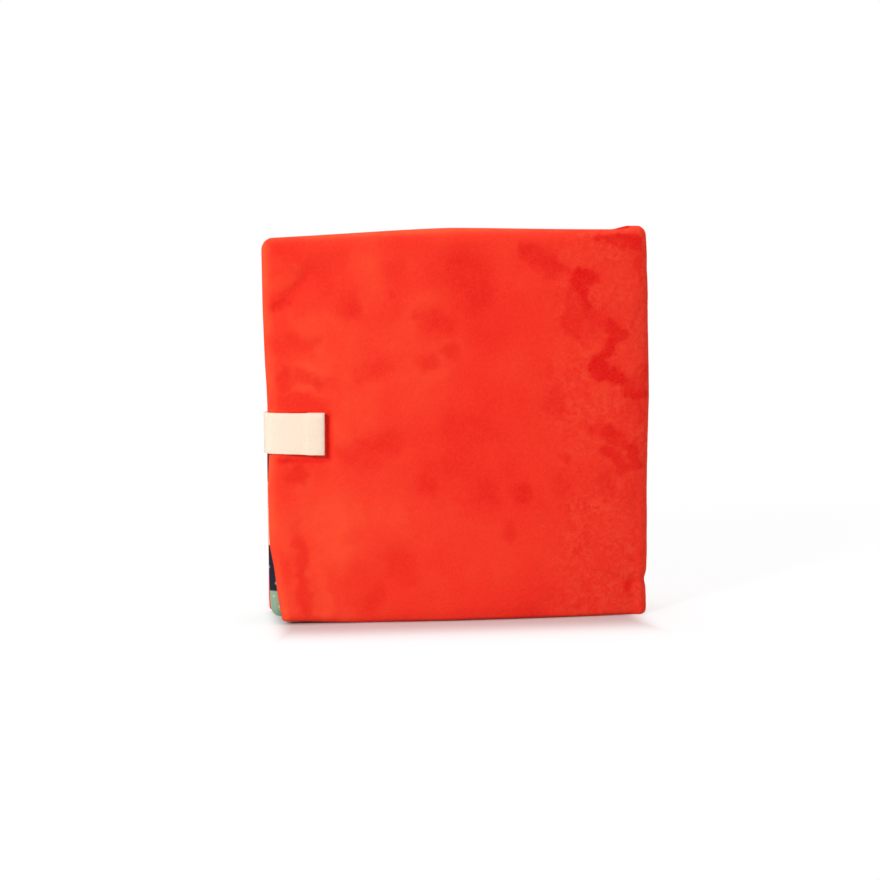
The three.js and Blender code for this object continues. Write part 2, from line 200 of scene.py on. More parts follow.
class BookColours(bpy.types.PropertyGroup):
    """Colours of the cloths."""

    plush: colour("Plush", "The pile as it mostly lies", 244, 48, 35)
    # The pressed-down colour also serves as painted shade of creases and painted shadow of the strap.
    plush_dark_and_painted_shade: colour("Plush pressed down", "The pile where it was pressed or turned over", 226, 11, 17)
    # The tips' colour also serves as painted highlights, painted sheen along the rims and a painted lighter left
    # side.
    plush_light_and_painted_sheen: colour("Plush tips", "The pile's lighter tips", 254, 86, 52)
    plush_brushed: colour("Plush brushed", "The pile brushed in streaks", 250, 84, 56)
    webbing: colour("Webbing", "Natural cotton", 250, 230, 209)
    peach: colour("Peach", "Sky of the prints", 243, 205, 178)
    navy: colour("Navy", "Hills of the prints", 24, 29, 46)
    sage: colour("Sage", "Ground of the prints", 140, 172, 146)
    cream: colour("Cream", "Dots of the prints", 250, 240, 222)
    wadding: colour("Wadding", "Polyester fibre filling", 244, 243, 238)
    film: colour("Film", "Crinkle film", 214, 222, 228)
    capsule: colour("Capsule", "Squeaker's plastic", 240, 240, 236)


class StageSettings(bpy.types.PropertyGroup):
    """Camera and light."""

    azimuth: angle("Azimuth", "Where the camera stands round the book", -8.4)
    pitch: angle("Pitch", "How far the camera looks down", 6.46)
    pan: angle("Pan", "How far the camera is turned aside", 0.455)
    distance: length("Distance", "From the camera to the book", 1100)
    eye: length("Eye height", "The camera's height over the floor", 225)
    lens: FloatProperty(name="Lens", description="Focal length", default=79.15, unit="CAMERA")
    key: power("Key light", "Power of the light from the left", 11.5)
    top: power("Top light", "Power of the light from above", 7)
    side: power("Side light", "Power of the faint light from the right", 2.2)
    behind: power("Rear light", "Power of the faint light from behind", 3)
    fill: FloatProperty(name="World light", description="Strength of the even light all round", default=0.5, min=0)


# Modelling steps that more than one piece uses


def deselect():
    bpy.ops.object.select_all(action="DESELECT")


def make_active(piece):
    deselect()
    piece.select_set(True)
    bpy.context.view_layer.objects.active = piece


def take_up(name):
    """The piece that was just added, under its name."""
    piece = bpy.context.object
    piece.name = piece.data.name = name
    return piece


def start_box(name, low, high):
    """A box between two corners."""
    deselect()
    low, high = Vector(low), Vector(high)
    bpy.ops.mesh.primitive_cube_add(size=1, location=(low + high) / 2)
    piece = take_up(name)
    piece.scale = high - low
    bpy.ops.object.transform_apply()
    return piece


def start_sheet(name, low, high, y):
    """An upright sheet between two corners given as (x, z)."""
    deselect()
    bpy.ops.mesh.primitive_plane_add(size=1, rotation=(math.pi / 2, 0, 0))
    piece = take_up(name)
    piece.scale = (high[0] - low[0], high[1] - low[1], 1)
    piece.location = ((low[0] + high[0]) / 2, y, (low[1] + high[1]) / 2)
    bpy.ops.object.transform_apply()
    return piece


def pick(piece, kind, test):
    """In edit mode: selects only the vertices, edges or faces that pass a test."""
    bpy.ops.mesh.select_all(action="DESELECT")
    bpy.ops.mesh.select_mode(type=kind)
    mesh = bmesh.from_edit_mesh(piece.data)
    for item in {"VERT": mesh.verts, "EDGE": mesh.edges, "FACE": mesh.faces}[kind]:
        if test(item):
            item.select_set(True)
    mesh.select_flush_mode()
    bmesh.update_edit_mesh(piece.data)


def edit(piece):
    """Enters edit mode with all of the piece selected."""
    make_active(piece)
    bpy.ops.object.mode_set(mode="EDIT")
    bpy.ops.mesh.select_all(action="SELECT")


def extrude(x, y, z=0):
    """In edit mode: extrudes what is selected by a step."""
    bpy.ops.mesh.extrude_region_move(TRANSFORM_OT_translate={"value": (x, y, z)})


def leave_edit():
    bpy.ops.object.mode_set(mode="OBJECT")


def apply_modifier(piece, kind, **settings):
    """Adds a modifier with its settings and applies it."""
    make_active(piece)
    modifier = piece.modifiers.new(kind.title(), kind)
    for setting, value in settings.items():
        setattr(modifier, setting, value)
    bpy.ops.object.modifier_apply(modifier=modifier.name)


def subdivide(piece):
    apply_modifier(piece, "SUBSURF", levels=1, render_levels=1)


def points_of(piece):
    """The mesh's points, one row each."""
    flat = np.empty(len(piece.data.vertices) * 3)
    piece.data.vertices.foreach_get("co", flat)
    return flat.reshape(-1, 3)


def set_points(piece, points):
    piece.data.vertices.foreach_set("co", points.ravel())
    piece.data.update()


def smooth(piece, angle=50):
    make_active(piece)
    bpy.ops.object.shade_smooth_by_angle(angle=math.radians(angle))


def blend01(values, start, end):
    """0 before start, 1 after end, smooth between."""
    share = np.clip((values - start) / (end - start), 0, 1)
    return share * share * (3 - 2 * share)


def cloud(points, size, seed=0):
    """Smooth noise about -1 to 1 at each point, with lumps of the given size."""
    shift = Vector((seed * 7.3, seed * 3.1, seed * 5.7))
    return np.array([noise.noise(Vector(point) / size + shift) for point in points])


def puff(piece, cap, held=0.0):
    """Stuffs a closed cloth form: a cloth simulation under pressure, each point's move capped, and
    lessened by the held share in plan with its sewn outline."""
    before = points_of(piece)
    make_active(piece)
    cloth = piece.modifiers.new("Puff", "CLOTH")
    cloth.settings.quality = 4
    cloth.settings.mass = 0.25
    cloth.settings.tension_stiffness = cloth.settings.compression_stiffness = 12
    cloth.settings.bending_stiffness = 0.4
    cloth.settings.use_pressure = True
    cloth.settings.uniform_pressure_force = 3.0
    cloth.settings.effector_weights.gravity = 0
    cloth.collision_settings.use_collision = False
    scene = bpy.context.scene
    for step in range(1, PUFF_STEPS + 1):
        scene.frame_set(step)
    shaped = piece.evaluated_get(bpy.context.evaluated_depsgraph_get())
    moved = points_of(shaped) - before
    piece.modifiers.remove(cloth)
    scene.frame_set(1)
    reach = np.linalg.norm(moved, axis=1, keepdims=True)
    share = np.minimum(1, cap / np.maximum(reach, 1e-9))
    set_points(piece, before + moved * share * [1 - held, 1, 1 - held])


# The fore-edge's line for the back cover (-1), the leaves and spine (0) and the front cover (1): how far
# in it stands at each height, in millimetres. The strap draws it in, and the back cover is tucked at the foot.
FORE_LINES = {
    -1: [(0, 11.5), (5, 11.0), (10, 10.0), (13, 9.3), (24, 7.9), (33, 7.0), (38, 6.1), (44, 4.6), (55, 4.3),
         (70, 4.0), (84, 3.9), (94, 4.6), (106, 4.8), (120, 4.3), (137, 3.7), (148, 3.0), (160, 2.6), (182, 1.9),
         (220, 1.6)],
    0: [(0, 4.2), (9, 4.0), (12, 3.8), (18, 3.4), (29, 3.1), (93, 2.8), (106, 3.4), (120, 4.0), (137, 3.4),
        (160, 2.5), (182, 1.8), (220, 1.7)],
    1: [(0, 3.9), (7, 3.4), (13, 3.3), (25, 3.4), (54, 3.2), (90, 3.1), (108, 3.3), (120, 3.6), (137, 3.0),
        (160, 2.1), (182, 1.4), (220, 1.3)],
}


def settle(points, side=0):
    """How the stuffed book sags, for the back cover (-1), the leaves and spine (0) or the front cover (1):
    every layer there follows it, so the layers still fit each other."""
    sizes = bpy.context.scene.book_sizes
    heights, insets = np.array(FORE_LINES[side]).T * MM
    x, y, z = points.T.copy()
    outward = np.clip(-x / (sizes.width / 2), 0, 1)
    up = np.clip(z / HEIGHT, 0, 1)
    eased = sum(np.interp(z + shift * MM, heights, insets) for shift in (-5, -2.5, 0, 2.5, 5)) / 5
    x = x + outward * eased
    z = z - sizes.droop * outward**1.2 * up
    return np.stack([x + SLANT * y, y, z], axis=1)


def recalculate(piece):
    """Joins doubled points and turns the faces outward."""
    edit(piece)
    bpy.ops.mesh.remove_doubles(threshold=1e-6)
    bpy.ops.mesh.normals_make_consistent(inside=False)
    leave_edit()


# Materials


class Value:
    """A node's output to reckon with: each sign used on it adds a math node."""

    def __init__(self, shader, socket):
        self.shader, self.socket = shader, socket

    def __add__(self, other):
        return self.shader.math("ADD", self, other)

    def __sub__(self, other):
        return self.shader.math("SUBTRACT", self, other)

    def __rsub__(self, other):
        return self.shader.math("SUBTRACT", other, self)

    def __mul__(self, other):
        return self.shader.math("MULTIPLY", self, other)

    def __truediv__(self, other):
        return self.shader.math("DIVIDE", self, other)

    def __abs__(self):
        return self.shader.math("ABSOLUTE", self)


class Shader:
    """A node tree, with short ways to add and join nodes."""

    def __init__(self, tree):
        self.tree = tree

    def add(self, kind, settings=None, **inputs):
        node = self.tree.nodes.new(kind)
        for name, value in (settings or {}).items():
            setattr(node, name, value)
        for name, value in inputs.items():
            self.put(node, name.replace("_", " "), value)
        return node

    def put(self, node, name, value):
        """Joins a value to a node's input, or sets a number or a colour on it."""
        socket = node.inputs[name]
        if isinstance(value, Value):
            self.tree.links.new(value.socket, socket)
        else:
            socket.default_value = (*value, 1) if socket.type == "RGBA" else value

    def out(self, node, name=0):
        return Value(self, node.outputs[name])

    def math(self, operation, first, second=0.0, clamp=False):
        node = self.add("ShaderNodeMath", {"operation": operation, "use_clamp": clamp})
        self.put(node, 0, first)
        self.put(node, 1, second)
        return self.out(node)

    def mix(self, share, first, second, mode="MIX"):
        """From the first colour at 0 to the second at 1."""
        node = self.add("ShaderNodeMix", {"data_type": "RGBA", "blend_type": mode})
        for socket, value in ((0, share), (6, first), (7, second)):
            self.put(node, socket, value)
        return self.out(node, 2)

    def noise(self, vector, scale, detail=3.0, roughness=0.55, distortion=0.0):
        node = self.add("ShaderNodeTexNoise", Vector=vector, Scale=scale, Detail=detail,
                        Roughness=roughness, Distortion=distortion)
        return self.out(node, "Fac")

    def step(self, value, start, end):
        """0 below start, 1 above end, smooth between."""
        return self.out(self.add("ShaderNodeMapRange", {"interpolation_type": "SMOOTHSTEP"},
                                 Value=value, From_Min=start, From_Max=end))

    def place(self):
        return self.out(self.add("ShaderNodeTexCoord"), "Object")

    def split(self, vector):
        node = self.add("ShaderNodeSeparateXYZ", Vector=vector)
        return [self.out(node, axis) for axis in (0, 1, 2)]


def darker(rgb, share):
    return tuple(value * share for value in rgb)


def weave_group():
    """Plain weave on a flat vector: the height of crossing threads and a shade between them."""
    name = "plain weave"
    if name in bpy.data.node_groups:
        return bpy.data.node_groups[name]
    tree = bpy.data.node_groups.new(name, "ShaderNodeTree")
    for socket, way, kind in (("Vector", "INPUT", "Vector"), ("Threads", "INPUT", "Float"),
                              ("Height", "OUTPUT", "Float"), ("Shade", "OUTPUT", "Float")):
        tree.interface.new_socket(name=socket, in_out=way, socket_type=f"NodeSocket{kind}")
    shader = Shader(tree)
    given = tree.nodes.new("NodeGroupInput")
    across, up, _ = shader.split(shader.out(given, "Vector"))
    threads = shader.out(given, "Threads")
    warp, weft = (shader.math("SINE", place * threads * math.pi) for place in (across, up))
    over = shader.step(warp * weft, -0.15, 0.15)
    height = abs(warp) * over + abs(weft) * (1 - over)
    shader.add("NodeGroupOutput", Height=height, Shade=shader.step(height, 0.1, 0.9))
    return tree


def weave(shader, flat, threads):
    """The weave's height and shade on a flat vector, at so many threads a metre."""
    node = shader.add("ShaderNodeGroup", {"node_tree": weave_group()}, Vector=flat, Threads=threads)
    return shader.out(node, "Height"), shader.out(node, "Shade")


def new_material(name, **constants):
    """A new material's nodes and its plain surface, with constants on the surface's own sockets."""
    material = bpy.data.materials.new(name)
    material.use_nodes = True
    shader = Shader(material.node_tree)
    surface = shader.tree.nodes["Principled BSDF"]
    for socket, value in constants.items():
        shader.put(surface, socket.replace("_", " "), value)
    return shader, surface


def coat(shader, surface, tone, height, strength, distance):
    """Gives a material's surface its tone and its bumps."""
    bumps = shader.add("ShaderNodeBump", Height=height, Strength=strength, Distance=distance)
    shader.put(surface, "Base Color", tone)
    shader.put(surface, "Normal", shader.out(bumps))


def plush_material():
    """Velour whose pile lies as the piece's own colour attribute says, with blotches, brushed streaks and grain, and
    with the painted shade, painted shadow, painted highlights and painted sheen that the attribute also carries.
    """
    colours = bpy.context.scene.book_colours
    shader, surface = new_material(
        "plush velour", Roughness=0.95, Sheen_Weight=0.3, Sheen_Roughness=0.34,
        Sheen_Tint=srgb(255, 150, 112), Specular_IOR_Level=0.08,
    )
    nap = shader.add("ShaderNodeAttribute", {"attribute_name": "nap"})
    masks = shader.add("ShaderNodeSeparateColor", Color=shader.out(nap, "Color"))
    dark, light, streaks = (shader.out(masks, channel) for channel in (0, 1, 2))
    place = shader.place()
    blotch = shader.step(shader.noise(place, 63.0, 5.0, 0.62, 0.8), 0.36, 0.7)
    streak = shader.step(shader.noise(place, 180.0, 5.0, 0.68, 1.6), 0.32, 0.7)
    grain = shader.noise(place, 900.0, 2.0, 0.6)
    tuft = shader.noise(place, 315.0, 2.0, 0.5)
    uneven = blotch * 0.35
    # The dark mask is pressed pile, and also painted shade of creases and painted shadow of the strap.
    pressed = shader.math("MULTIPLY", dark, uneven + 0.75, clamp=True)
    # The light mask is raised pile, and also painted highlights, painted sheen at the rims and a painted lighter left
    # side.
    tone = shader.mix(light * (uneven + 0.65), colours.plush, colours.plush_light_and_painted_sheen)
    tone = shader.mix(pressed, tone, colours.plush_dark_and_painted_shade)
    tone = shader.mix(streaks * streak * 0.48, tone, colours.plush_brushed)
    tone = shader.mix(streaks * (1 - streak) * 0.3, tone, colours.plush_dark_and_painted_shade)
    tone = shader.mix(shader.step(grain, 0.3, 0.7) * 0.16, tone, colours.plush_light_and_painted_sheen)
    coat(shader, surface, tone, grain + tuft * 1.2, 0.35, 0.0006)


def printed_cotton(name, phase):
    """Printed cotton: peach sky with dots, a navy hill band and a sage ground, and a navy blot just under the strap
    at the fore-edge that is painted shadow of the strap.
    """
    colours = bpy.context.scene.book_colours
    leaf = bpy.context.scene.book_leaf
    shader, surface = new_material(
        name, Roughness=0.88, Sheen_Weight=0.12, Sheen_Roughness=0.5, Specular_IOR_Level=0.2
    )
    x, _, z = shader.split(shader.place())

    def wave(waves_per_metre, height):
        return shader.math("SINE", x * (waves_per_metre * math.tau) + phase) * height

    def under(line):
        return shader.step(line - z, -PRINT_EDGE, PRINT_EDGE)

    def dots(spacing, radius):
        """A field of dots in staggered rows."""
        row = z / spacing
        odd = shader.math("MODULO", shader.math("FLOOR", row), 2.0)
        across = shader.math("FRACT", x / spacing + odd * 0.5) - 0.5
        up = shader.math("FRACT", row) - 0.5
        away = shader.math("SQRT", across * across + up * up) * spacing
        return 1 - shader.step(away, radius - PRINT_EDGE, radius + PRINT_EDGE)

    rise = shader.step(x, -0.08, 0.02)
    hill_line = (wave(9, 0.006) + wave(4, 0.012)) * rise + leaf.hill
    ground_line = wave(6, 0.004) * rise + leaf.ground
    # A navy blot just under the strap at the fore-edge: painted shadow of the strap.
    beside, above = (x - leaf.painted_strap_shadow_x) * 125.0, (z - leaf.painted_strap_shadow) * 125.0
    painted_strap_shadow = 1 - shader.step(beside * beside + above * above, 0.9, 1.1)
    sky = shader.mix(painted_strap_shadow, shader.mix(dots(0.018, 0.0022), colours.peach, colours.cream), colours.navy)
    hill = shader.mix(dots(0.009, 0.0009), colours.navy, colours.sage)
    ground = shader.mix(dots(0.006, 0.0006) * 0.35, colours.sage, colours.cream)
    artwork = shader.mix(under(ground_line), shader.mix(under(hill_line), sky, hill), ground)
    height, shade = weave(shader, shader.out(shader.add("ShaderNodeCombineXYZ", X=x, Y=z)), 2600.0)
    worn = shader.noise(shader.place(), 60.0, 4.0)
    tone = shader.mix(shade * 0.1 + worn * 0.16, artwork, colours.cream, "SOFT_LIGHT")
    coat(shader, surface, tone, height, 0.3, 0.0002)


def webbing_material():
    """Cotton webbing, a little soiled, whose weave follows the strip map along the strap."""
    cotton = bpy.context.scene.book_colours.webbing
    shader, surface = new_material(
        "cotton webbing", Roughness=0.9, Sheen_Weight=0.15, Sheen_Roughness=0.4, Specular_IOR_Level=0.15
    )
    strip = shader.out(shader.add("ShaderNodeUVMap", {"uv_map": "strip"}))
    height, shade = weave(shader, strip, 1150.0)
    soiled = shader.step(shader.noise(strip, 90.0, 4.0), 0.45, 0.8)
    slub = shader.noise(strip, 700.0, 2.0)
    tone = shader.mix(shade, shader.mix(1.0, cotton, (0.96, 0.94, 0.91), "MULTIPLY"), cotton)
    tone = shader.mix(soiled * 0.1, tone, (0.86, 0.74, 0.6))
    coat(shader, surface, tone, height + slub * 0.9, 0.4, 0.0002)


def fibre_material(name, rgb, scale, strength, distance, sheen=0.2):
    """Tangled or looped fibre, such as wadding, hook tape or loop tape."""
    shader, surface = new_material(
        name, Roughness=0.95, Sheen_Weight=sheen, Sheen_Roughness=0.5, Specular_IOR_Level=0.1
    )
    place = shader.place()
    strands = shader.add("ShaderNodeTexVoronoi", {"feature": "DISTANCE_TO_EDGE"}, Vector=place, Scale=scale)
    height = shader.out(strands, "Distance") + shader.noise(place, scale * 0.8, 4.0, 0.7, 2.0)
    # The fibre's low parts are darker: painted shade in the hollows between strands.
    tone = shader.mix(shader.step(height, 0.35, 0.85), darker(rgb, 0.72), rgb)
    coat(shader, surface, tone, height, strength, distance)


def thread_material():
    """Twisted sewing thread in the webbing's colour."""
    cotton = bpy.context.scene.book_colours.webbing
    shader, surface = new_material("sewing thread", Roughness=0.7, Specular_IOR_Level=0.3)
    wave = shader.add("ShaderNodeTexWave", {"bands_direction": "DIAGONAL"}, Vector=shader.place(), Scale=900.0)
    twist = shader.out(wave, "Fac")
    # The twist's grooves are darker: painted shade between the plies.
    coat(shader, surface, shader.mix(twist, darker(cotton, 0.8), cotton), twist, 0.4, 0.0001)


def smooth_plastic(name, rgb, roughness, speckle):
    """Moulded plastic or film with a faint unevenness."""
    shader, surface = new_material(name, Specular_IOR_Level=0.5)
    blotch = shader.noise(shader.place(), 120.0, 3.0)
    fine = shader.noise(shader.place(), 1500.0, 2.0)
    shader.put(surface, "Roughness", blotch * 0.2 + roughness)
    coat(shader, surface, shader.mix(blotch * speckle, rgb, darker(rgb, 0.7)), fine, 0.15, 0.0001)


def dress(piece, material):
    piece.data.materials.clear()
    piece.data.materials.append(bpy.data.materials[material])


# The covers: plush outside, filling, lining inside


# Creases pressed into a cover: from (x, z) to (x, z), width and height in millimetres
CREASES = [
    ((-104, 175), (-84, 196), 3.2, -0.55),
    ((-96, 170), (-78, 186), 4.0, 0.35),
    ((-106, 158), (-80, 156), 3.4, -0.4),
    ((-104, 147), (-72, 139), 2.6, 0.5),
    ((-106, 151), (-76, 146), 2.4, -0.35),
    ((-100, 138), (-72, 130), 2.6, -0.35),
    ((-92, 92), (-80, 80), 5.0, -0.45),
    ((-68, 74), (-65, 40), 7.0, 0.55),
    ((-91, 57), (-77, 9), 3.0, -0.55),
    ((-97, 46), (-88, 6), 3.4, 0.4),
    ((-26, 46), (-52, 8), 8.0, -0.45),
    ((-70, 98), (-36, 104), 6.0, -0.35),
    ((-36, 104), (-22, 74), 6.0, -0.3),
    ((40, 209), (60, 196), 3.5, -0.35),
    ((84, 214), (104, 216), 2.6, -0.5),
    ((-60, 190), (-62, 150), 9.0, 0.25),
    ((88, 22), (106, 18), 3.0, -0.5),
    ((-20, 4), (80, 5), 2.2, -0.25),
]
# Places where the pile was pressed down: x, z, radius in millimetres and strength. The strongest, at (97, 18), is
# painted shade in the dent near the spine's foot.
PRESS_MARKS_AND_DENT_SHADE = [
    (-63, 178, 8, 0.44), (-14, 170, 8, 0.44), (-7, 168, 5, 0.56), (-22, 172, 5, 0.36), (-6, 154, 5, 0.48),
    (-18, 148, 6, 0.4), (1, 196, 17, 0.6), (9, 183, 12, 0.5), (16, 164, 12, 0.25), (-100, 209, 5, 0.4),
    (-83, 197, 8, 0.4), (-100, 138, 6, 0.36), (-78, 136, 4, 0.4), (-36, 196, 7, 0.24), (-40, 186, 3.5, 0.36),
    (-93, 86, 6.5, 0.6), (-53, 92, 9, 0.28), (-19, 77, 7, 0.52), (15, 73, 9, 0.45), (35, 72, 6.5, 0.7),
    (57, 75, 8, 0.4), (-34, 33, 11, 0.4), (-49, 13, 9, 0.44), (-29, 26, 6, 0.32), (28, 51, 5.5, 0.5),
    (83, 77, 8, 0.55), (97, 18, 4.5, 1.0), (60, 91, 4, 0.8), (53, 124, 8, 0.4), (63, 150, 5, 0.2),
    (69, 38, 6, 0.35), (-58, 28, 8, 0.16), (93, 119, 7, 0.5), (75, 107, 4, 0.7), (49, 140, 4, 0.35),
]
# Places where it stands up lighter, in the same way
RAISED_MARKS = [
    (-71, 54, 24, 0.5), (-41, 62, 18, 0.32), (-53, 202, 11, 0.32), (-65, 148, 15, 0.28), (-87, 170, 7, 0.4),
    (-23, 138, 20, 0.28), (-59, 120, 14, 0.28), (-15, 58, 16, 0.24), (62, 206, 7, 0.5), (80, 206, 5, 0.5),
    (59, 154, 9, 0.45), (78, 155, 5, 0.7), (79, 128, 6, 0.5), (93, 184, 10, 0.4), (39, 190, 9, 0.3),
    (92, 197, 4, 0.5), (93, 156, 4, 0.4), (67, 98, 7, 0.3), (43, 46, 9, 0.3), (1, 42, 12, 0.2),
]
# Where the pile turns over, darker: from (x, z) to (x, z), width in millimetres and strength. Those on the left half,
# from (-104, 178) on, are painted shade of the soft creases there.
NAP_TURNS_AND_CREASE_SHADE = [
    ((35, 209), (45, 205), 5, 0.6), ((45, 204), (54, 197), 5, 0.7), ((57, 198), (63, 195), 4, 0.45),
    ((66, 195), (74, 193), 4.5, 1.0), ((68, 189), (70, 177), 4.5, 1.0), ((63, 186), (62, 173), 4, 0.5),
    ((63, 171), (65, 162), 5.5, 0.65), ((72, 172), (84, 167), 5, 0.65), ((86, 165), (91, 160), 4.5, 0.95),
    ((88, 158), (82, 150), 4, 0.95), ((79, 148), (77, 142), 4.5, 1.0), ((79, 140), (87, 139), 4, 1.0),
    ((88, 138), (96, 134), 5, 0.95), ((96, 131), (104, 128), 4.5, 1.0), ((77, 216), (88, 215), 2.5, 0.8),
    ((88, 214), (102, 211), 4.5, 0.85), ((102, 205), (103, 192), 2.5, 0.7), ((104, 142), (103, 112), 3, 0.75),
    ((83, 106), (92, 101), 4.5, 0.75), ((85, 94), (92, 87), 4.5, 0.75), ((99, 97), (102, 86), 5, 0.9),
    ((92, 86), (100, 85), 3, 0.7), ((72, 54), (73, 46), 3.5, 0.4), ((102, 44), (103, 30), 3, 0.5),
    # From here on: painted shade of the soft creases on the left half
    ((-104, 178), (-97, 179), 3, 0.59), ((-97, 184), (-87, 196), 5, 0.35), ((-106, 158), (-85, 157), 5, 0.32),
    ((-91, 140), (-83, 137), 2.6, 0.32), ((-100, 125), (-79, 123), 4.5, 0.28), ((-57, 140), (-43, 144), 4.5, 0.24),
    ((-65, 96), (-37, 103), 6, 0.35), ((-92, 48), (-88, 9), 3.4, 0.35),
    ((-19, 90), (-19, 82), 4, 0.24),
]
# Painted shadow of the strap on the back cover, beside its folded end and under its lower edge, in the same way
STRAP_PAINTED_SHADOWS = [((-74.6, 94), (-74.6, 117.5), 1.9, 0.95), ((-102, 92.8), (-77, 92.6), 1.5, 0.8)]
# Where a crease or edge catches the light, lighter, in the same way
NAP_LIGHTS = [
    ((-91, 146), (-76, 142), 3, 0.42), ((-91, 133), (-77, 131), 2.6, 0.42), ((-83, 34), (-77, 8), 5, 0.39),
    ((-101, 62), (-97, 10), 4.5, 0.28), ((-102, 191), (-95, 199), 4, 0.35), ((-107, 168), (-103, 120), 3, 0.21),
]


def lies_along(edge, place):
    """Whether both ends of an edge have the given coordinates, such as {0: x, 2: z}."""
    return all(abs(vertex.co[axis] - value) < 1e-6 for vertex in edge.verts for axis, value in place.items())


def round_corners(piece, corners):
    """Bevels the edges that run through each (x, z, radius)."""
    edit(piece)
    for x, z, radius in corners:
        pick(piece, "EDGE", lambda edge: lies_along(edge, {0: x, 2: z}))
        bpy.ops.mesh.bevel(offset=radius, segments=5, affect="EDGES")
    leave_edit()


def cut_across(piece, axis, places):
    """Cuts the whole mesh by planes across an axis, so that it can be shaped there."""
    edit(piece)
    normal = Vector((axis == 0, axis == 1, axis == 2))
    for place in places:
        bpy.ops.mesh.bisect(plane_co=normal * place, plane_no=normal)
        bpy.ops.mesh.select_all(action="SELECT")
    leave_edit()


def plush_block(name, side):
    """A cover, its fold and half the spine as one block: its spine end is spun round the fold and
    extruded over the spine, past the middle, where it is cut once it is shaped."""
    sizes = bpy.context.scene.book_sizes
    fore, foot, top = -sizes.width / 2 - sizes.growth, -sizes.growth, HEIGHT + sizes.growth * 0.8
    inner, outer = side * (SEAM_Y + LINING), side * (SEAM_Y + sizes.cover)
    piece = start_box(name, (fore, min(inner, outer), foot), (SEAM_X, max(inner, outer), top))
    round_corners(piece, [(fore, top, sizes.corner), (fore, foot, sizes.foot_corner)])
    edit(piece)
    pick(piece, "FACE", lambda face: face.normal.x > 0.9)
    bpy.ops.mesh.spin(steps=6, angle=side * math.pi / 2, center=(SEAM_X, side * SEAM_Y, 0), axis=(0, 0, 1))
    extrude(0, -side * (SEAM_Y + 12 * MM))
    leave_edit()
    recalculate(piece)
    return piece


def depth_of(points, side):
    """Each point's distance outward from the cover's seam plane, and the direction in which it grows."""
    out_x = np.maximum(points[:, 0] - SEAM_X, 0)
    out_y = np.maximum(side * points[:, 1] - SEAM_Y, 0)
    depth = np.hypot(out_x, out_y)
    safe = np.maximum(depth, 1e-9)
    return depth, np.stack([out_x / safe, side * out_y / safe, np.zeros(len(points))], axis=1)


def crown_at(points):
    """The cover's crown, gone at the sewn edges, less what its face falls back towards the spine."""
    sizes = bpy.context.scene.book_sizes
    past_seam = points[:, 0] - SEAM_X
    across = np.clip(-past_seam / (SEAM_X + sizes.width / 2 - sizes.edge_roll), 0, 1)
    up = np.clip(np.abs(points[:, 2] - HEIGHT / 2) / (HEIGHT / 2 - sizes.edge_roll), 0, 1)
    turned = np.clip(past_seam / sizes.turn_reach + 1, 0, 1) ** 2
    past_fold = np.clip(past_seam / sizes.cover, 0, 1)
    return sizes.crown * (1 - across**2) * (1 - up**2) - sizes.fold_turn * turned * (1 - past_fold**2)


def roll_edges(points, side):
    """Draws the outer face in towards the sewn edges as a quarter round, less at the pressed foot."""
    sizes = bpy.context.scene.book_sizes
    x, _, z = points.T
    share = np.clip(depth_of(points, side)[0] / sizes.cover, 0, 1)
    drawn = 1 - np.sqrt(1 - share**2)
    rolled = points.copy()
    at_spine = blend01(x, SEAM_X - 6 * MM, SEAM_X + 4 * MM)
    foot_roll = sizes.foot_roll + (sizes.spine_foot_roll - sizes.foot_roll) * at_spine
    for radius, inset, axis, sign in (
        (sizes.edge_roll, HEIGHT - z, 2, -1),
        (foot_roll, z, 2, 1),
        (sizes.edge_roll, x + sizes.width / 2, 0, 1),
    ):
        rolled[:, axis] += sign * radius * drawn * np.clip(1 - inset / (3 * radius), 0, 1)
    return rolled


def near(points, x, z, reach_x, reach_z):
    """1 at a place on the face, given in millimetres, fading to 0 at about twice the reach."""
    return np.exp(-(((points[:, 0] / MM - x) / reach_x) ** 2) - ((points[:, 2] / MM - z) / reach_z) ** 2)


def under_patch(points):
    """1 where the loop patch presses the pile down, 0 a few millimetres beside it."""
    low, high = PATCH_LOW, PATCH_HIGH
    x, z = points[:, 0] + SLANT * (low.y + high.y) / 2, points[:, 2]
    beside = np.max([low.x - x, x - high.x, low.z - z, z - high.z], axis=0)
    return 1 - blend01(beside, 0, 4 * MM)


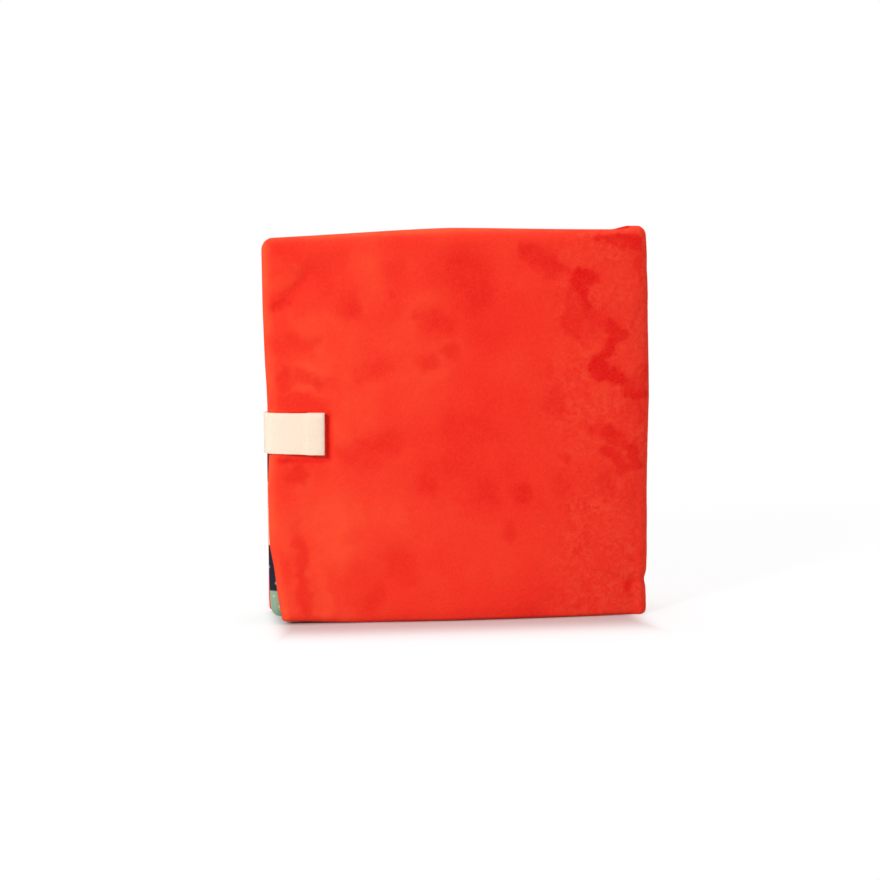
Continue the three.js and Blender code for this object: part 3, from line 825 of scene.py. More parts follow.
def unevenness(points, side):
    """The filling's lumps, the soft folds of the plush and the raised upper corner at the spine."""
    sizes = bpy.context.scene.book_sizes
    x, _, z = points.T
    depth, outward = depth_of(points, side)
    wide = cloud(points, 48 * MM) * 0.65 + cloud(points, 18 * MM, 1) * 0.25
    calm = 1 - 0.6 * blend01(x, SEAM_X - 12 * MM, SEAM_X)
    rise = (wide * calm + cloud(points, 7 * MM, 2) * 0.1 + cloud(points, 2.4 * MM, 5) * 0.12) * sizes.lump
    spine_x = (SEAM_X + sizes.cover) / MM
    for *place, height in ((spine_x, 20, 12, 3.5, -1.1), (spine_x, 199, 26, 7, -0.4), (-92, 205, 14, 6, 0.4)):
        rise += height * MM * near(points, *place)
    if side < 0:
        pressed = under_patch(points)
        rise = rise * (1 - pressed) - PILE_PRESS * pressed
    bulge = 1.1 * (1 - blend01(z, 30 * MM, 88 * MM)) + 0.5 * (1 - blend01(z, 4 * MM, 14 * MM))
    bulge += 0.45 * np.exp(-(((z - 128 * MM) / (22 * MM)) ** 2)) - 0.7 * blend01(z, 200 * MM, 214 * MM)
    rise += bulge * MM * blend01(x, SEAM_X, SEAM_X + 4 * MM)
    rise += sizes.foot_bulge * near(points, 8, 0, 62, 46)
    moved = points + outward * (rise * np.clip((depth - 2 * MM) / (4 * MM), 0, 1))[:, None]
    corner = sizes.corner_rise * blend01(x, 92 * MM, 104 * MM)
    middle = sizes.top_rise * np.exp(-(((x + 4 * MM) / (56 * MM)) ** 2))
    moved[:, 2] += (corner + middle) * blend01(z, HEIGHT - 45 * MM, HEIGHT)
    lifted = sizes.foot_lift * (1 - blend01(x, -104 * MM, -60 * MM)) * (1 - blend01(z, 2 * MM, 14 * MM))
    moved[:, 2] += lifted * np.clip(depth / (3 * MM), 0, 1)
    return moved


def stroke(points, start, end, width):
    """1 along a line over a cover's face, given in millimetres as (x, z), fading to 0 beside it."""
    start, end = np.array(start) * MM, np.array(end) * MM
    flat = points[:, [0, 2]]
    run = end - start
    share = np.clip((flat - start) @ run / (run @ run), 0, 1)
    away = np.linalg.norm(flat - start - share[:, None] * run, axis=1)
    return np.exp(-((away / (width * MM)) ** 2))


def crease(points, side):
    """Presses the soft creases into a cover's face once it has sagged, less into the front cover's."""
    on_face = blend01(side * points[:, 1] - SEAM_Y, 3 * MM, 6 * MM) * blend01(SEAM_X - points[:, 0], 0, 8 * MM)
    if side < 0:
        on_face = on_face * (1 - under_patch(points - [SLANT * PATCH_LOW.y, 0, 0]))
    rise = sum(height * stroke(points, start, end, width) for start, end, width, height in CREASES)
    moved = points.copy()
    moved[:, 1] += side * rise * MM * on_face * (1 if side < 0 else 0.7)
    return moved


def nap_and_painted_light_masks(points, side):
    """How the pile lies at each point: pressed down and dark, brushed up and light, or brushed in streaks. The dark
    mask also holds painted shade of creases and of a dent and painted shadow of the strap; the light mask also holds
    painted highlights on creases, painted sheen along the fore-edge and top and a painted lighter left side.
    """
    sizes = bpy.context.scene.book_sizes
    x, y, z = points.T
    level = np.zeros(len(points))
    wide = cloud(points, 42 * MM, 60 + side) * 0.6 + cloud(points, 15 * MM, 63) * 0.4
    wander = np.stack([cloud(points, 9 * MM, 70), level, cloud(points, 9 * MM, 71)], axis=1)
    wander += np.stack([cloud(points, 3.5 * MM, 72), level, cloud(points, 3.5 * MM, 73)], axis=1) * 0.6
    strayed = points + wander * 3.6 * MM
    if side > 0:
        strayed = strayed * [1, 1, -1] + [0, 0, HEIGHT]
    patchy = 1.05 + 0.3 * cloud(points, 9 * MM, 66)
    masks = []
    for marks, strokes, mask in ((PRESS_MARKS_AND_DENT_SHADE, NAP_TURNS_AND_CREASE_SHADE, 0.3 * blend01(wide, 0.05, 0.5)),
                                 (RAISED_MARKS, NAP_LIGHTS, 0.4 * blend01(-wide, -0.05, 0.5))):
        for mark_x, mark_z, radius, strength in marks:
            mark = near(strayed, mark_x, mark_z, radius, radius * 1.15)
            mask = np.maximum(mask, strength * blend01(mark, 0.05, 0.95))
        for start, end, width, strength in strokes:
            turned = blend01(stroke(strayed, start, end, width * 1.15), 0.2 * strength, 1 - 0.2 * strength)
            mask = np.maximum(mask, np.clip(strength * patchy * turned, 0, 1))
        masks.append(mask)
    dark, light = masks
    # Painted shadow of the strap on the back cover, beside its end and under its lower edge.
    if side < 0:
        for start, end, width, strength in STRAP_PAINTED_SHADOWS:
            dark = np.maximum(dark, strength * stroke(points, start, end, width))
    # The left side is painted lighter, as if lit from the left: painted light.
    painted_left_light = 0.3 + 0.7 * (1 - blend01(x, -60 * MM, 60 * MM))
    light = (light * painted_left_light + 0.16 * (1 - blend01(x, -80 * MM, 20 * MM))) * (1 - 0.8 * dark)
    # A lighter band along the fore-edge and the top: painted sheen of the pile at the rims.
    inset = np.interp(z, *(np.array(FORE_LINES[side]).T * MM)) + SLANT * y
    droop = sizes.droop * np.clip(-x / (sizes.width / 2), 0, 1) ** 1.2
    fore_painted_sheen = 1 - blend01(x + sizes.width / 2 - inset, -1 * MM, 6 * MM)
    top_painted_sheen = 1 - blend01(HEIGHT - droop - z, -1 * MM, 3.2 * MM)
    light += np.maximum(fore_painted_sheen, top_painted_sheen * (0.8 - 0.4 * blend01(x, 0, 60 * MM)))
    streaks = blend01(x, 34 * MM, 70 * MM) * (0.5 + 0.5 * blend01(cloud(points, 16 * MM, 69), -0.3, 0.3))
    streaks *= 1 - 0.85 * dark
    return np.stack([dark, np.clip(light, 0, 1), streaks, level + 1], axis=1)


def open_underside(piece, side):
    """Takes away the faces towards the lining, so that the plush is an open shell over the filling."""

    def faces_lining(face):
        middle = np.array([face.calc_center_median()])
        depth, outward = depth_of(middle, side)
        return depth[0] < LINING * 1.8 and face.normal.dot(Vector(outward[0])) < -0.6

    edit(piece)
    pick(piece, "FACE", faces_lining)
    bpy.ops.mesh.delete(type="FACE")
    leave_edit()


def cut_at_middle(piece, side):
    """Cuts a piece off at the spine's middle line."""
    edit(piece)
    bpy.ops.mesh.bisect(plane_co=(0, 0, 0), plane_no=(0, -side, 0), clear_outer=True)
    leave_edit()


def plush_skin(side, name, nodes):
    """The plush over a cover, its fold and half the spine: rolled at its sewn edges, crowned, stuffed and creased."""
    sizes = bpy.context.scene.book_sizes
    piece = plush_block(name, side)
    make_active(piece)
    piece.data.remesh_voxel_size = 2.6 * MM
    bpy.ops.object.voxel_remesh()
    apply_modifier(piece, "SMOOTH", factor=0.5, iterations=3)
    points = roll_edges(points_of(piece), side)
    depth, outward = depth_of(points, side)
    grown = crown_at(points) * np.clip(depth / sizes.cover, 0, 1)
    set_points(piece, points + outward * grown[:, None])
    before = points_of(piece)
    puff(piece, 1.2 * MM, held=0.85)
    beside_middle = blend01(side * before[:, 1], 1 * MM, SEAM_Y)[:, None]
    set_points(piece, before + (points_of(piece) - before) * beside_middle)
    subdivide(piece)
    open_underside(piece, side)
    points = crease(settle(unevenness(points_of(piece), side), side), side)
    points[:, 2] = np.maximum(points[:, 2], 0)
    set_points(piece, points)
    cut_at_middle(piece, side)
    apply_modifier(piece, "SOLIDIFY", thickness=sizes.plush_cloth, offset=-1)
    # The colour attribute holds the pile's lie together with painted shade, painted shadow, painted highlights and
    # painted sheen.
    nap = piece.data.color_attributes.new(name="nap", type="FLOAT_COLOR", domain="POINT")
    nap.data.foreach_set("color", nap_and_painted_light_masks(points_of(piece), side).ravel())
    smooth(piece)
    dress(piece, "plush velour")
    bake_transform(piece)
    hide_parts(*nodes)


class BOOK_OT_plush(bpy.types.Operator):
    """The two plush skins, each over a cover, its fold and half the spine"""

    bl_idname = "book.plush"
    bl_label = "Plush covers"

    def execute(self, context):
        plush_material()
        plush_skin(-1, "back_skin", ["back_cover_plush", "back_fold_plush", "spine_plush"])
        plush_skin(1, "front_skin", ["front_cover_plush", "front_fold_plush"])
        return {"FINISHED"}


def lining_sheet(side, name, nodes):
    """A lining from the fore-edge over a cover's inside and half the spine's, one piece of cloth."""
    sizes = bpy.context.scene.book_sizes
    inset = sizes.lining_inset
    left, right = -sizes.width / 2 + inset, SEAM_X
    half = LINING / 2
    piece = start_sheet(name, (left, inset), (right, HEIGHT - inset), side * (SEAM_Y + half))
    edit(piece)
    pick(piece, "EDGE", lambda edge: lies_along(edge, {0: right}))
    extrude(half, -side * half)
    extrude(0, -side * (SEAM_Y - 0.05 * MM))
    leave_edit()
    cell = 3.4 * MM
    cut_across(piece, 2, np.arange(inset + cell, HEIGHT - inset, cell))
    cut_across(piece, 0, np.arange(left + cell, right - 16 * MM, cell))
    cut_across(piece, 0, np.arange(right - 15 * MM, right, 1 * MM))
    cut_across(piece, 1, side * np.arange(1 * MM, SEAM_Y, 1.3 * MM))
    points = points_of(piece)
    wrinkle = (cloud(points, 30 * MM, 3) * 0.6 + cloud(points, 12 * MM, 4) * 0.4) * 0.3 * MM
    points[:, 1] += wrinkle * blend01(SEAM_X - points[:, 0], 0, 12 * MM)
    set_points(piece, settle(points, side))
    recalculate(piece)
    apply_modifier(piece, "SOLIDIFY", thickness=LINING * 0.7, offset=0)
    smooth(piece)
    dress(piece, "lining print")
    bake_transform(piece)
    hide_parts(*nodes)


class BOOK_OT_linings(bpy.types.Operator):
    """The printed linings inside the covers"""

    bl_idname = "book.linings"
    bl_label = "Linings"

    def execute(self, context):
        printed_cotton("lining print", phase=1.3)
        lining_sheet(-1, "back_lining", ["back_cover_lining", "spine_lining"])
        lining_sheet(1, "front_lining", ["front_cover_lining"])
        return {"FINISHED"}


# Stuffed panels: the leaves and the fillings


def inset_from_outline(points, low, high, radius):
    """How far inside a round-cornered outline each point lies, seen along Y."""
    middle, half = (low + high) / 2, (high - low) / 2 - radius
    beyond = np.abs(points[:, [0, 2]] - middle[[0, 2]]) - half[[0, 2]]
    outside = np.hypot(*np.maximum(beyond, 0).T)
    return radius - outside - np.minimum(beyond.max(axis=1), 0)


def quarter_round(inset, reach):
    """0 at the outline, rising as a quarter round to 1 at the reach."""
    return np.sqrt(1 - (1 - np.clip(inset / reach, 0, 1)) ** 2)


def panel(name, low, high, corner, cell, close_lines):
    """A flat stuffed panel's block: corners rounded and cut into cells, with lines close to its edges."""
    low, high = np.array(low), np.array(high)
    piece = start_box(name, low, high)
    round_corners(piece, [(x, z, corner) for x in (low[0], high[0]) for z in (low[2], high[2])])
    for axis in (0, 2):
        inner = np.arange(low[axis] + close_lines[-1] + cell, high[axis] - close_lines[-1], cell)
        near_edges = [low[axis] + line for line in close_lines] + [high[axis] - line for line in close_lines]
        cut_across(piece, axis, [*near_edges, *inner])
    return piece, low, high


def copy_of(piece, name):
    made = piece.copy()
    made.data = piece.data.copy()
    made.name = made.data.name = name
    bpy.context.scene.collection.objects.link(made)
    return made


def remove(piece):
    deselect()
    piece.select_set(True)
    bpy.ops.object.delete()


def leaf_corners():
    """A leaf's lowest and highest corner before it sags, about y = 0."""
    leaf = bpy.context.scene.book_leaf
    left = -bpy.context.scene.book_sizes.width / 2 + leaf.fore_inset
    return (left, -LEAF_DEPTH, leaf.foot_inset), (HEM_X, LEAF_DEPTH, HEIGHT - leaf.top_inset)


def leaf_pattern():
    """One stuffed leaf about y = 0: two printed faces sewn together at a flat hem, thin at the gutter."""
    leaf = bpy.context.scene.book_leaf
    near_edges = [1.4 * MM, 2.6 * MM, 4.6 * MM, 7.5 * MM]
    piece, low, high = panel("leaf_pattern", *leaf_corners(), leaf.corner, 4.5 * MM, near_edges)
    points = points_of(piece)
    inset = inset_from_outline(points, low, high, leaf.corner)
    full = HEM_RADIUS + (LEAF_DEPTH - HEM_RADIUS) * blend01(high[0] - points[:, 0], 0, leaf.gutter)
    half = leaf.seam / 2 + (full - leaf.seam / 2) * quarter_round(inset - leaf.hem, leaf.roll)
    points[:, 1] = np.sign(points[:, 1]) * half
    set_points(piece, points)
    puff(piece, 0.9 * MM)
    held = blend01(inset, leaf.hem, leaf.hem + 5 * MM)[:, None]
    puffed = points + (points_of(piece) - points) * held
    puffed[:, 1] = np.clip(puffed[:, 1], -LEAF_DEPTH, LEAF_DEPTH)
    set_points(piece, puffed)
    subdivide(piece)
    apply_modifier(piece, "SOLIDIFY", thickness=leaf.cloth, offset=-1)
    return piece


def pad_pattern():
    """A leaf's pad of wadding about y = 0."""
    depth, inset, corner = LEAF_DEPTH - 1.7 * MM, 3.4 * MM, 3 * MM
    leaf_low, leaf_high = leaf_corners()
    low = (leaf_low[0] + inset, -depth, leaf_low[2] + inset)
    high = (HEM_X - bpy.context.scene.book_leaf.gutter, depth, leaf_high[2] - inset)
    piece, low, high = panel("pad_pattern", low, high, corner, PAD_CELL, [2 * MM])
    points = points_of(piece)
    points[:, 1] *= 0.35 + 0.65 * quarter_round(inset_from_outline(points, low, high, corner), 3 * MM)
    set_points(piece, points)
    subdivide(piece)
    return piece


def place_in_leaf(piece, number):
    """Moves a pattern's copy to its leaf and lets it sag with the book; no two leaves wave alike."""
    points = points_of(piece)
    waves = cloud(points * [1, 0, 1], 60 * MM, 10 + number) * 0.12 * MM
    points[:, 1] += LEAF_Y[number - 1] + waves
    set_points(piece, settle(points))
    smooth(piece)
    return piece


class BOOK_OT_leaves(bpy.types.Operator):
    """The four stuffed, printed leaves"""

    bl_idname = "book.leaves"
    bl_label = "Leaves"

    def execute(self, context):
        pattern = leaf_pattern()
        for number in LEAF_NUMBERS:
            leaf = place_in_leaf(copy_of(pattern, f"leaf_{number}_skin"), number)
            printed_cotton(f"leaf {number} print", phase=number * 1.7)
            dress(leaf, f"leaf {number} print")
            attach(leaf, f"leaf_{number}")
            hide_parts(f"leaf_{number}_front_print", f"leaf_{number}_back_print")
        remove(pattern)
        return {"FINISHED"}


def stuff(pad, body, node, material="wadding"):
    """Dresses a pad, with the body that it rides on and the node that it stands for. The plain wadding
    is the packed model's own."""
    dress(pad, material)
    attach(pad, body)
    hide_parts(node)


def pad_depths():
    """How far out from the seam plane a cover's or the spine's pad starts and ends."""
    sizes = bpy.context.scene.book_sizes
    return LINING + 0.4 * MM, sizes.cover - sizes.plush_cloth - 0.5 * MM


def cover_pad(side, body):
    """A cover's pad of wadding, crowned as the plush over it is."""
    inner, outer = (side * (SEAM_Y + depth) for depth in pad_depths())
    low = (-bpy.context.scene.book_sizes.width / 2 + 3 * MM, min(inner, outer), PAD_FOOT)
    high = (SEAM_X - 1 * MM, max(inner, outer), PAD_TOP)
    corner = 3 * MM
    piece, low, high = panel(f"{body}_pad", low, high, corner, PAD_CELL, [2 * MM])
    points = points_of(piece)
    rounded = quarter_round(inset_from_outline(points, low, high, corner), 4 * MM)
    share = (points[:, 1] - inner) / (outer - inner)
    points[:, 1] = inner + share * ((outer - inner) * (0.3 + 0.7 * rounded) + side * crown_at(points) * 0.9)
    set_points(piece, points)
    subdivide(piece)
    set_points(piece, settle(points_of(piece), side))
    smooth(piece)
    stuff(piece, body, f"{body}_wadding")


class BOOK_OT_fillings(bpy.types.Operator):
    """The pads of wadding in the covers, the spine and the leaves"""

    bl_idname = "book.fillings"
    bl_label = "Fillings"

    def execute(self, context):
        fibre_material("wadding fibre", context.scene.book_colours.wadding, 500.0, 0.6, 0.0008)
        cover_pad(-1, "back_cover")
        cover_pad(1, "front_cover")
        spine_pad()
        pattern = pad_pattern()
        for number in LEAF_NUMBERS:
            pad = place_in_leaf(copy_of(pattern, f"leaf_{number}_pad"), number)
            if number == SQUEAKER_LEAF:
                cut_pocket(pad)
            stuff(pad, f"leaf_{number}", f"leaf_{number}_wadding", "wadding fibre")
        remove(pattern)
        return {"FINISHED"}


def spine_pad():
    """The spine's wadding, a pad on end between the folds."""
    inner, outer = (SEAM_X + depth for depth in pad_depths())
    across = SEAM_Y - 3.5 * MM
    piece = start_box("spine_pad", (inner, -across, PAD_FOOT), (outer, across, PAD_TOP))
    cut_across(piece, 2, np.arange(PAD_FOOT + 4 * MM, PAD_TOP, PAD_CELL))
    cut_across(piece, 1, np.arange(3 * MM - across, across, 4 * MM))
    points = points_of(piece)
    crown = crown_at(points * [0, 0, 1] + [SEAM_X, 0, 0])
    points[:, 0] += crown * (points[:, 0] - inner) / (outer - inner)
    set_points(piece, points)
    subdivide(piece)
    set_points(piece, settle(points_of(piece)))
    smooth(piece)
    stuff(piece, "spine", "spine_wadding")


def cut_pocket(pad):
    """A round pocket through the pad for the squeaker."""
    low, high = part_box("squeaker")
    bpy.ops.mesh.primitive_cylinder_add(
        vertices=48, radius=(high.z - low.z) / 2 + 0.3 * MM, depth=12 * MM,
        location=(low + high) / 2, rotation=(math.pi / 2, 0, 0),
    )
    cutter = bpy.context.object
    apply_modifier(pad, "BOOLEAN", object=cutter, operation="DIFFERENCE", solver="EXACT")
    remove(cutter)


def crinkle_film(number):
    """A crumpled film on one face of a leaf's wadding."""
    low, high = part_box(f"leaf_{number}_crinkle_film")
    left, right = low.x + 4 * MM, high.x - 1 * MM
    foot, top = low.z + 3.5 * MM, high.z + 0.5 * MM
    depth = (low.y + high.y) / 2
    piece = start_sheet(f"leaf_{number}_film", (left, foot), (right, top), 0)
    edit(piece)
    bpy.ops.mesh.subdivide(number_cuts=60)
    leave_edit()
    points = points_of(piece)
    creases = np.abs(cloud(points, 14 * MM, 20 + number)) + 0.5 * np.abs(cloud(points, 5 * MM, 30 + number))
    points[:, 1] += depth + np.clip(creases - 0.3, -0.3, 0.5) * 0.3 * MM
    points[:, 0] -= SLANT * depth
    set_points(piece, settle(points))
    smooth(piece, 15)
    apply_modifier(piece, "SOLIDIFY", thickness=0.05 * MM, offset=0)
    dress(piece, "crinkle film")
    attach(piece, f"leaf_{number}")
    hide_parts(f"leaf_{number}_crinkle_film")


class BOOK_OT_sounds(bpy.types.Operator):
    """The crinkle films and the squeaker sealed in the leaves"""

    bl_idname = "book.sounds"
    bl_label = "Films and squeaker"

    def execute(self, context):
        colours = context.scene.book_colours
        smooth_plastic("crinkle film", colours.film, 0.2, 0.3)
        for number in FILM_LEAVES:
            crinkle_film(number)
        smooth_plastic("squeaker plastic", colours.capsule, 0.35, 0.25)
        dress(frame["nodes"]["squeaker"], "squeaker plastic")
        return {"FINISHED"}


# The strap


def plush_depth(x):
    """How far the back cover's face stands out from its seam plane at middle height."""
    sizes = bpy.context.scene.book_sizes
    return sizes.cover + crown_at(np.array([[x, 0, HEIGHT / 2]]))[0]


def over_cover(x, lift):
    """A point in plan over the back cover's face, before the slant."""
    return (x, -(SEAM_Y + plush_depth(x) + lift))


def arc(centre, radius_x, radius_y, start, end, steps):
    """Points in plan on an ellipse's arc, from one angle to another in degrees."""
    angles = np.radians(np.linspace(start, end, steps + 1))
    return [(centre[0] + radius_x * math.cos(a), centre[1] + radius_y * math.sin(a)) for a in angles]


# How far the webbing rises over the folded end, in millimetres from x to x
STRAP_FACE = [(-93, 0), (-91, 0.1), (-89, 0.25), (-87, 0.45), (-86, 0.6), (-85, 0.85), (-84, 1.05), (-82.5, 1.2),
              (-80, 1.25), (-77.5, 1.3)]


def strap_path():
    """The webbing's middle line in plan: from the front cover's edge past the leaves, round the back
    cover's edge, over its face, and folded under at the free end."""
    strap = bpy.context.scene.book_strap
    half = strap.thickness / 2
    root_x, root_y = STRAP_HINGE.x - SLANT * STRAP_HINGE.y, STRAP_HINGE.y
    outer_x = STRAP_BEND.x - SLANT * STRAP_BEND.y + 1 * MM
    end_x = -bpy.context.scene.book_sizes.width / 2 + strap.reach
    path = [(root_x + 1.2 * MM, root_y + 1.6 * MM), (root_x + 0.3 * MM, root_y)]
    swing = 4.5 * MM
    for share in (0.15, 0.3, 0.5, 0.7, 0.85, 1):
        eased = share * share * (3 - 2 * share)
        path.append((root_x + (outer_x - root_x) * eased, root_y - swing * share))
    for share in (0.2, 0.4, 0.6, 0.8, 1):
        sag = 0.25 * MM * math.sin(math.pi * share)
        path.append((outer_x - sag, root_y - swing - (2 * root_y - swing - 0.4 * MM) * share))
    gap = 0.3 * MM
    turn_x, turn_y = 4.5 * MM + gap + half, plush_depth(outer_x + half + gap) + gap + half
    path += arc((outer_x + turn_x, -SEAM_Y), turn_x, turn_y, 185, 262, 9)
    lift = WEBBING_LIFT + half
    path += [over_cover(x * MM, lift + rise * MM) for x, rise in STRAP_FACE]
    turn = half + 0.25 * MM
    middle = over_cover(end_x - turn * 0.5 - half, lift - turn + 0.9 * MM)
    path += arc(middle, turn * 0.5, turn, -90, 90, 8)
    under = lift - 2 * turn + 0.75 * MM
    return path + [over_cover(x * MM, under - sink * MM) for x, sink in ((-79, 0.1), (-82, 0.3), (-84.5, 0.45))]


def ribbon(name, path, width, middle, rows):
    """Webbing: an upright edge extruded from point to point along a path in plan, given its thickness
    and a strip map whose U runs along it and V up it, in metres."""
    start_x, start_y = path[0]
    foot, top = middle - width / 2, middle + width / 2
    piece = start_sheet(name, (start_x, foot), (start_x + width, top), start_y)
    edit(piece)
    pick(piece, "VERT", lambda vertex: vertex.co.x > start_x + width / 2)
    bpy.ops.mesh.delete(type="VERT")
    bpy.ops.mesh.select_all(action="SELECT")
    bpy.ops.mesh.subdivide(number_cuts=rows - 1)
    for here, there in zip(path, path[1:]):
        extrude(there[0] - here[0], there[1] - here[1])
    leave_edit()
    lengths = np.cumsum([0, *[math.dist(a, b) for a, b in zip(path, path[1:])]])
    points = points_of(piece)
    run = lengths[[int(np.argmin([math.dist(point[:2], spot) for spot in path])) for point in points]]
    strip = piece.data.uv_layers.new(name="strip")
    for loop in piece.data.loops:
        strip.data[loop.index].uv = (run[loop.vertex_index], points[loop.vertex_index, 2])
    return piece, points, run / lengths[-1]


class BOOK_OT_strap(bpy.types.Operator):
    """The webbing strap with its folded end, its stitches and the hook and loop patches"""

    bl_idname = "book.strap"
    bl_label = "Strap"

    def execute(self, context):
        webbing_material()
        make_webbing()
        make_stitches()
        make_patches()
        return {"FINISHED"}


def make_webbing():
    """The strap's length of webbing, a little askew and drawn in, with its end folded under."""
    strap = bpy.context.scene.book_strap
    piece, points, along = ribbon("strap_webbing", strap_path(), strap.width, STRAP_Z, 10)
    flare = 0.935 + 0.01 * blend01(along, 0.35, 0.6) + 0.025 * blend01(along, 0.68, 0.78)
    points[:, 2] = STRAP_Z + (points[:, 2] - STRAP_Z) * flare + strap_tilt(points[:, 0])
    points[:, 2] -= 2.4 * MM * (1 - blend01(along, 0.02, 0.46))
    set_points(piece, points)
    recalculate(piece)
    apply_modifier(piece, "SOLIDIFY", thickness=strap.thickness, offset=0)
    apply_modifier(piece, "BEVEL", width=0.35 * MM, segments=2, limit_method="ANGLE", angle_limit=math.radians(60))
    points = points_of(piece)
    points[:, 0] += SLANT * points[:, 1]
    points[:, 1] += cloud(points, 6 * MM, 40) * 0.12 * MM
    set_points(piece, points)
    smooth(piece, 40)
    dress(piece, "cotton webbing")
    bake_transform(piece)
    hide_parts("strap_bridge", "strap_tab")


def strap_tilt(x):
    """How much higher than its middle line the strap lies, as it slopes down from the fore-edge."""
    return 0.4 * MM - STRAP_TILT * (x + bpy.context.scene.book_sizes.width / 2)


def stitch_pattern():
    """One stitch, round and longer than it is wide."""
    strap = bpy.context.scene.book_strap
    bpy.ops.mesh.primitive_uv_sphere_add(segments=8, ring_count=6, radius=0.5)
    piece = take_up("stitch_pattern")
    piece.scale = (strap.stitch * 0.86, strap.thread, strap.thread)
    bpy.ops.object.transform_apply()
    return piece


def stitch_line(start, end, pitch):
    """Even places from one (x, z) to another, and the line's angle."""
    run = math.dist(start, end)
    count = max(1, round(run / pitch))
    turn = math.atan2(end[1] - start[1], end[0] - start[0])
    for i in range(count):
        share = (i + 0.5) / count
        yield start[0] + (end[0] - start[0]) * share, start[1] + (end[1] - start[1]) * share, turn


def make_stitches():
    """The hook patch's box of stitches and the line that holds the folded end, on the webbing's face."""
    strap = bpy.context.scene.book_strap
    pattern = stitch_pattern()
    inset = strap.width / 2 - 2.2 * MM
    low, high = STRAP_Z - inset, STRAP_Z + inset
    left, right, hem = -97.5 * MM, -88 * MM, -83.2 * MM
    box = [(left, low), (left, high), (right, high), (right, low), (left, low)]
    path = strap_path()
    tip = max(range(len(path)), key=lambda i: path[i][0] if path[i][1] < -SEAM_Y else -1)
    face = np.array([place for place in path[: tip + 1] if place[1] < -SEAM_Y - 2 * MM]).T
    stitches = []
    for start, end in [*zip(box, box[1:]), ((hem, low), (hem, high))]:
        for x, z, turn in stitch_line(start, end, strap.stitch):
            made = copy_of(pattern, f"stitch_{len(stitches)}")
            y = float(np.interp(x, *face)) - strap.thickness / 2
            made.rotation_euler = (0, -turn, 0)
            made.location = (x + SLANT * y, y + 0.1 * MM, z + strap_tilt(x))
            stitches.append(made)
    remove(pattern)
    make_active(stitches[0])
    for made in stitches:
        made.select_set(True)
    bpy.ops.object.join()
    piece = take_up("strap_stitches")
    bpy.ops.object.transform_apply()
    smooth(piece, 60)
    thread_material()
    dress(piece, "sewing thread")
    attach(piece, "strap_end")


def tape_patch(name, node, body, material):
    """A patch of hook or loop tape over a CAD patch's room, its corners rounded and its pile uneven."""
    piece, low, high = panel(name, *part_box(node), 1.5 * MM, 1.1 * MM, [0.5 * MM])
    points = points_of(piece)
    outside = points[:, 1] < (low[1] + high[1]) / 2
    points[:, 1] += outside * cloud(points, 1.6 * MM, 50) * 0.12 * MM
    set_points(piece, points)
    smooth(piece, 60)
    dress(piece, material)
    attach(piece, body)
    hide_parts(node)


def make_patches():
    """The loop patch on the back cover and the hook patch under the strap's end."""
    cotton = bpy.context.scene.book_colours.webbing
    fibre_material("loop tape", cotton, 2200.0, 0.8, 0.0005, 0.4)
    fibre_material("hook tape", cotton, 1500.0, 0.9, 0.0006, 0.1)
    tape_patch("loop_patch", "cover_loop_patch", "back_cover", "loop tape")
    tape_patch("hook_patch", "strap_hook_patch", "strap_end", "hook tape")


class BOOK_OT_stage(bpy.types.Operator):
    """Floor, backdrop, light and camera"""

    bl_idname = "book.stage"
    bl_label = "Stage"

    def execute(self, context):
        settings = context.scene.book_stage
        floor = make_floor()
        make_light("key", settings.key, (-0.9, -0.95, 0.66), 0.26)
        make_light("top", settings.top, (0.0, 0.12, 1.3), 0.6)
        make_light("side", settings.side, (1.1, -0.35, 0.35), 0.7)
        make_light("behind", settings.behind, (-0.35, 1.15, 0.5), 0.8)
        make_world(settings.fill)
        make_camera(settings)
        context.scene.view_settings.view_transform = "Standard"
        return {"FINISHED"}


def make_floor():
    """A floor that runs up into a backdrop."""
    bpy.ops.mesh.primitive_plane_add(size=6)
    floor = take_up("floor")
    edit(floor)
    pick(floor, "EDGE", lambda edge: all(vertex.co.y > 2.9 for vertex in edge.verts))
    extrude(0, 0, 4)
    pick(floor, "EDGE", lambda edge: all(vertex.co.y > 2.9 and vertex.co.z < 0.1 for vertex in edge.verts))
    bpy.ops.mesh.bevel(offset=1.0, segments=12, affect="EDGES")
    leave_edit()
    smooth(floor)
    paper_material()
    dress(floor, "white paper")
    return floor


def paper_material():
    """Paper that the camera sees as white, with the book's shadow still on it close to the book, where the paper is
    also painted darker and reddish: painted shade and painted red bounce from the book.
    """
    shader, surface = new_material("white paper")
    shader.tree.nodes.remove(surface)
    ray = shader.add("ShaderNodeLightPath")
    seen = shader.math("MAXIMUM", shader.out(ray, "Is Camera Ray"), shader.out(ray, "Is Glossy Ray"))
    seen = shader.math("MAXIMUM", seen, shader.out(ray, "Is Transmission Ray"))
    across, along = (abs(place) for place in shader.split(shader.place())[:2])
    far = shader.math("MAXIMUM", shader.step(across, 0.094, 0.113), shader.step(along, 0.03, 0.08))
    away = shader.step(shader.math("MAXIMUM", across, along), 0.16, 0.5)
    # Close to the book the camera sees a darker, reddish paper: painted shade and painted red bounce, over the shadow
    # the lamps cast.
    tone = shader.mix(seen, (0.55, 0.55, 0.55), shader.mix(far, (0.65, 0.59, 0.585), (0.97, 0.97, 0.97)))
    paper = shader.add("ShaderNodeBsdfDiffuse", Color=tone)
    glow = shader.add("ShaderNodeEmission", Color=(1, 1, 1), Strength=1.0)
    both = shader.add("ShaderNodeMixShader", Fac=seen * far * (away * 0.25 + 0.75))
    shader.put(both, 1, shader.out(paper))
    shader.put(both, 2, shader.out(glow))
    shader.put(shader.tree.nodes["Material Output"], "Surface", shader.out(both))


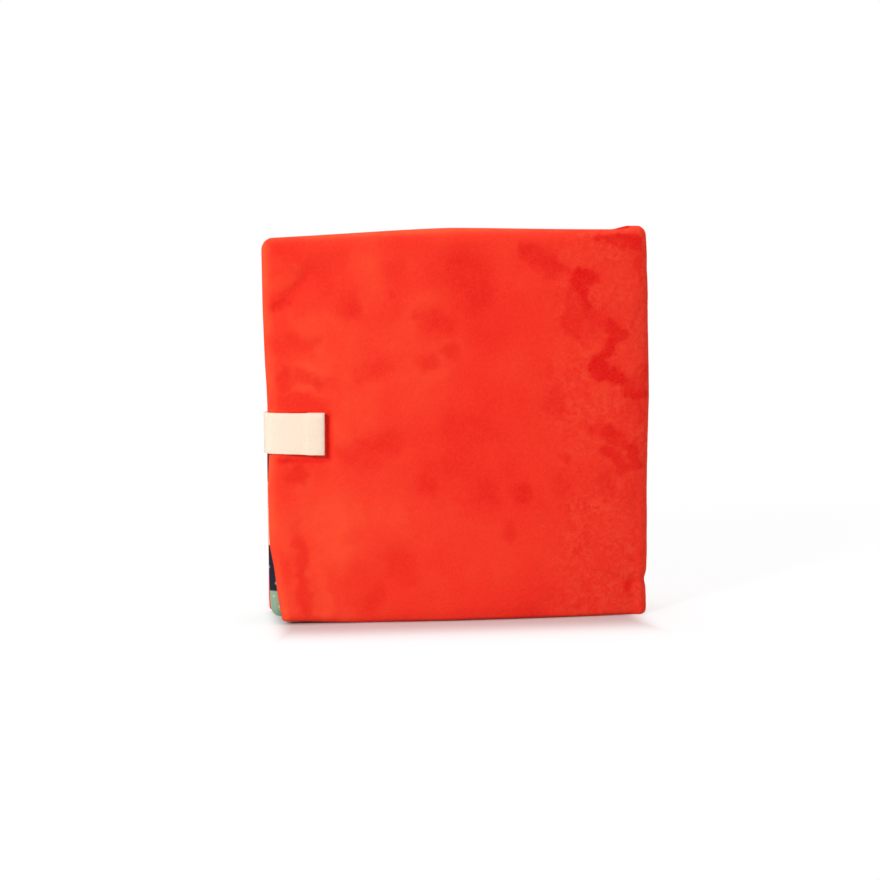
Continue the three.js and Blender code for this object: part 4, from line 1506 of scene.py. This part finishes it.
def make_light(name, power, place, size):
    lamp = bpy.data.lights.new(name, "AREA")
    lamp.energy = power
    lamp.size = size
    light = bpy.data.objects.new(name, lamp)
    light.location = place
    light.rotation_euler = facing(Vector((0, 0, HEIGHT / 2)) - Vector(place))
    bpy.context.scene.collection.objects.link(light)


def facing(ahead):
    """The turn of a lamp or camera that looks along a direction."""
    return ahead.to_track_quat("-Z", "Y").to_euler()


def make_world(strength):
    """White light all round, seen by the camera as plain white."""
    world = bpy.data.worlds.new("studio")
    world.use_nodes = True
    shader = Shader(world.node_tree)
    seen = shader.out(shader.add("ShaderNodeLightPath"), "Is Camera Ray")
    background = world.node_tree.nodes["Background"]
    shader.put(background, "Color", (1, 1, 1))
    shader.put(background, "Strength", seen * (1 - strength) + strength)
    bpy.context.scene.world = world


def make_camera(settings):
    data = bpy.data.cameras.new("camera")
    data.lens = settings.lens
    camera = bpy.data.objects.new("camera", data)
    turned, down = settings.azimuth, settings.pitch
    aside = turned + settings.pan
    camera.location = (math.sin(turned) * settings.distance, -math.cos(turned) * settings.distance, settings.eye)
    level = math.cos(down)
    camera.rotation_euler = facing(Vector((-math.sin(aside) * level, math.cos(aside) * level, -math.sin(down))))
    bpy.context.scene.collection.objects.link(camera)
    bpy.context.scene.camera = camera


class BOOK_PT_panel(bpy.types.Panel):
    """Lists the book's pieces"""

    bl_label = "Activity book"
    bl_idname = "BOOK_PT_panel"
    bl_space_type = "VIEW_3D"
    bl_region_type = "UI"
    bl_category = "Activity book"

    def draw(self, context):
        for operator in OPERATORS:
            self.layout.operator(operator.bl_idname)
        for group in GROUPS:
            settings = getattr(context.scene, group)
            box = self.layout.box()
            box.label(text=settings.__doc__ or group)
            for setting in settings.__annotations__:
                box.prop(settings, setting)


GROUPS = {
    "book_sizes": BookSizes,
    "book_leaf": LeafSizes,
    "book_strap": StrapSizes,
    "book_colours": BookColours,
    "book_stage": StageSettings,
}
OPERATORS = [
    BOOK_OT_plush,
    BOOK_OT_linings,
    BOOK_OT_leaves,
    BOOK_OT_fillings,
    BOOK_OT_sounds,
    BOOK_OT_strap,
    BOOK_OT_stage,
]


def register():
    for settings in GROUPS.values():
        bpy.utils.register_class(settings)
    for operator in OPERATORS:
        bpy.utils.register_class(operator)
    bpy.utils.register_class(BOOK_PT_panel)
    for group, settings in GROUPS.items():
        setattr(bpy.types.Scene, group, PointerProperty(type=settings))


def unregister():
    for group in GROUPS:
        delattr(bpy.types.Scene, group)
    for registered in [BOOK_PT_panel, *OPERATORS, *GROUPS.values()]:
        bpy.utils.unregister_class(registered)


def main():
    register()
    bpy.ops.book.plush()
    bpy.ops.book.linings()
    bpy.ops.book.leaves()
    bpy.ops.book.fillings()
    bpy.ops.book.sounds()
    bpy.ops.book.strap()
    bpy.ops.book.stage()


if __name__ == "__main__":
    main()
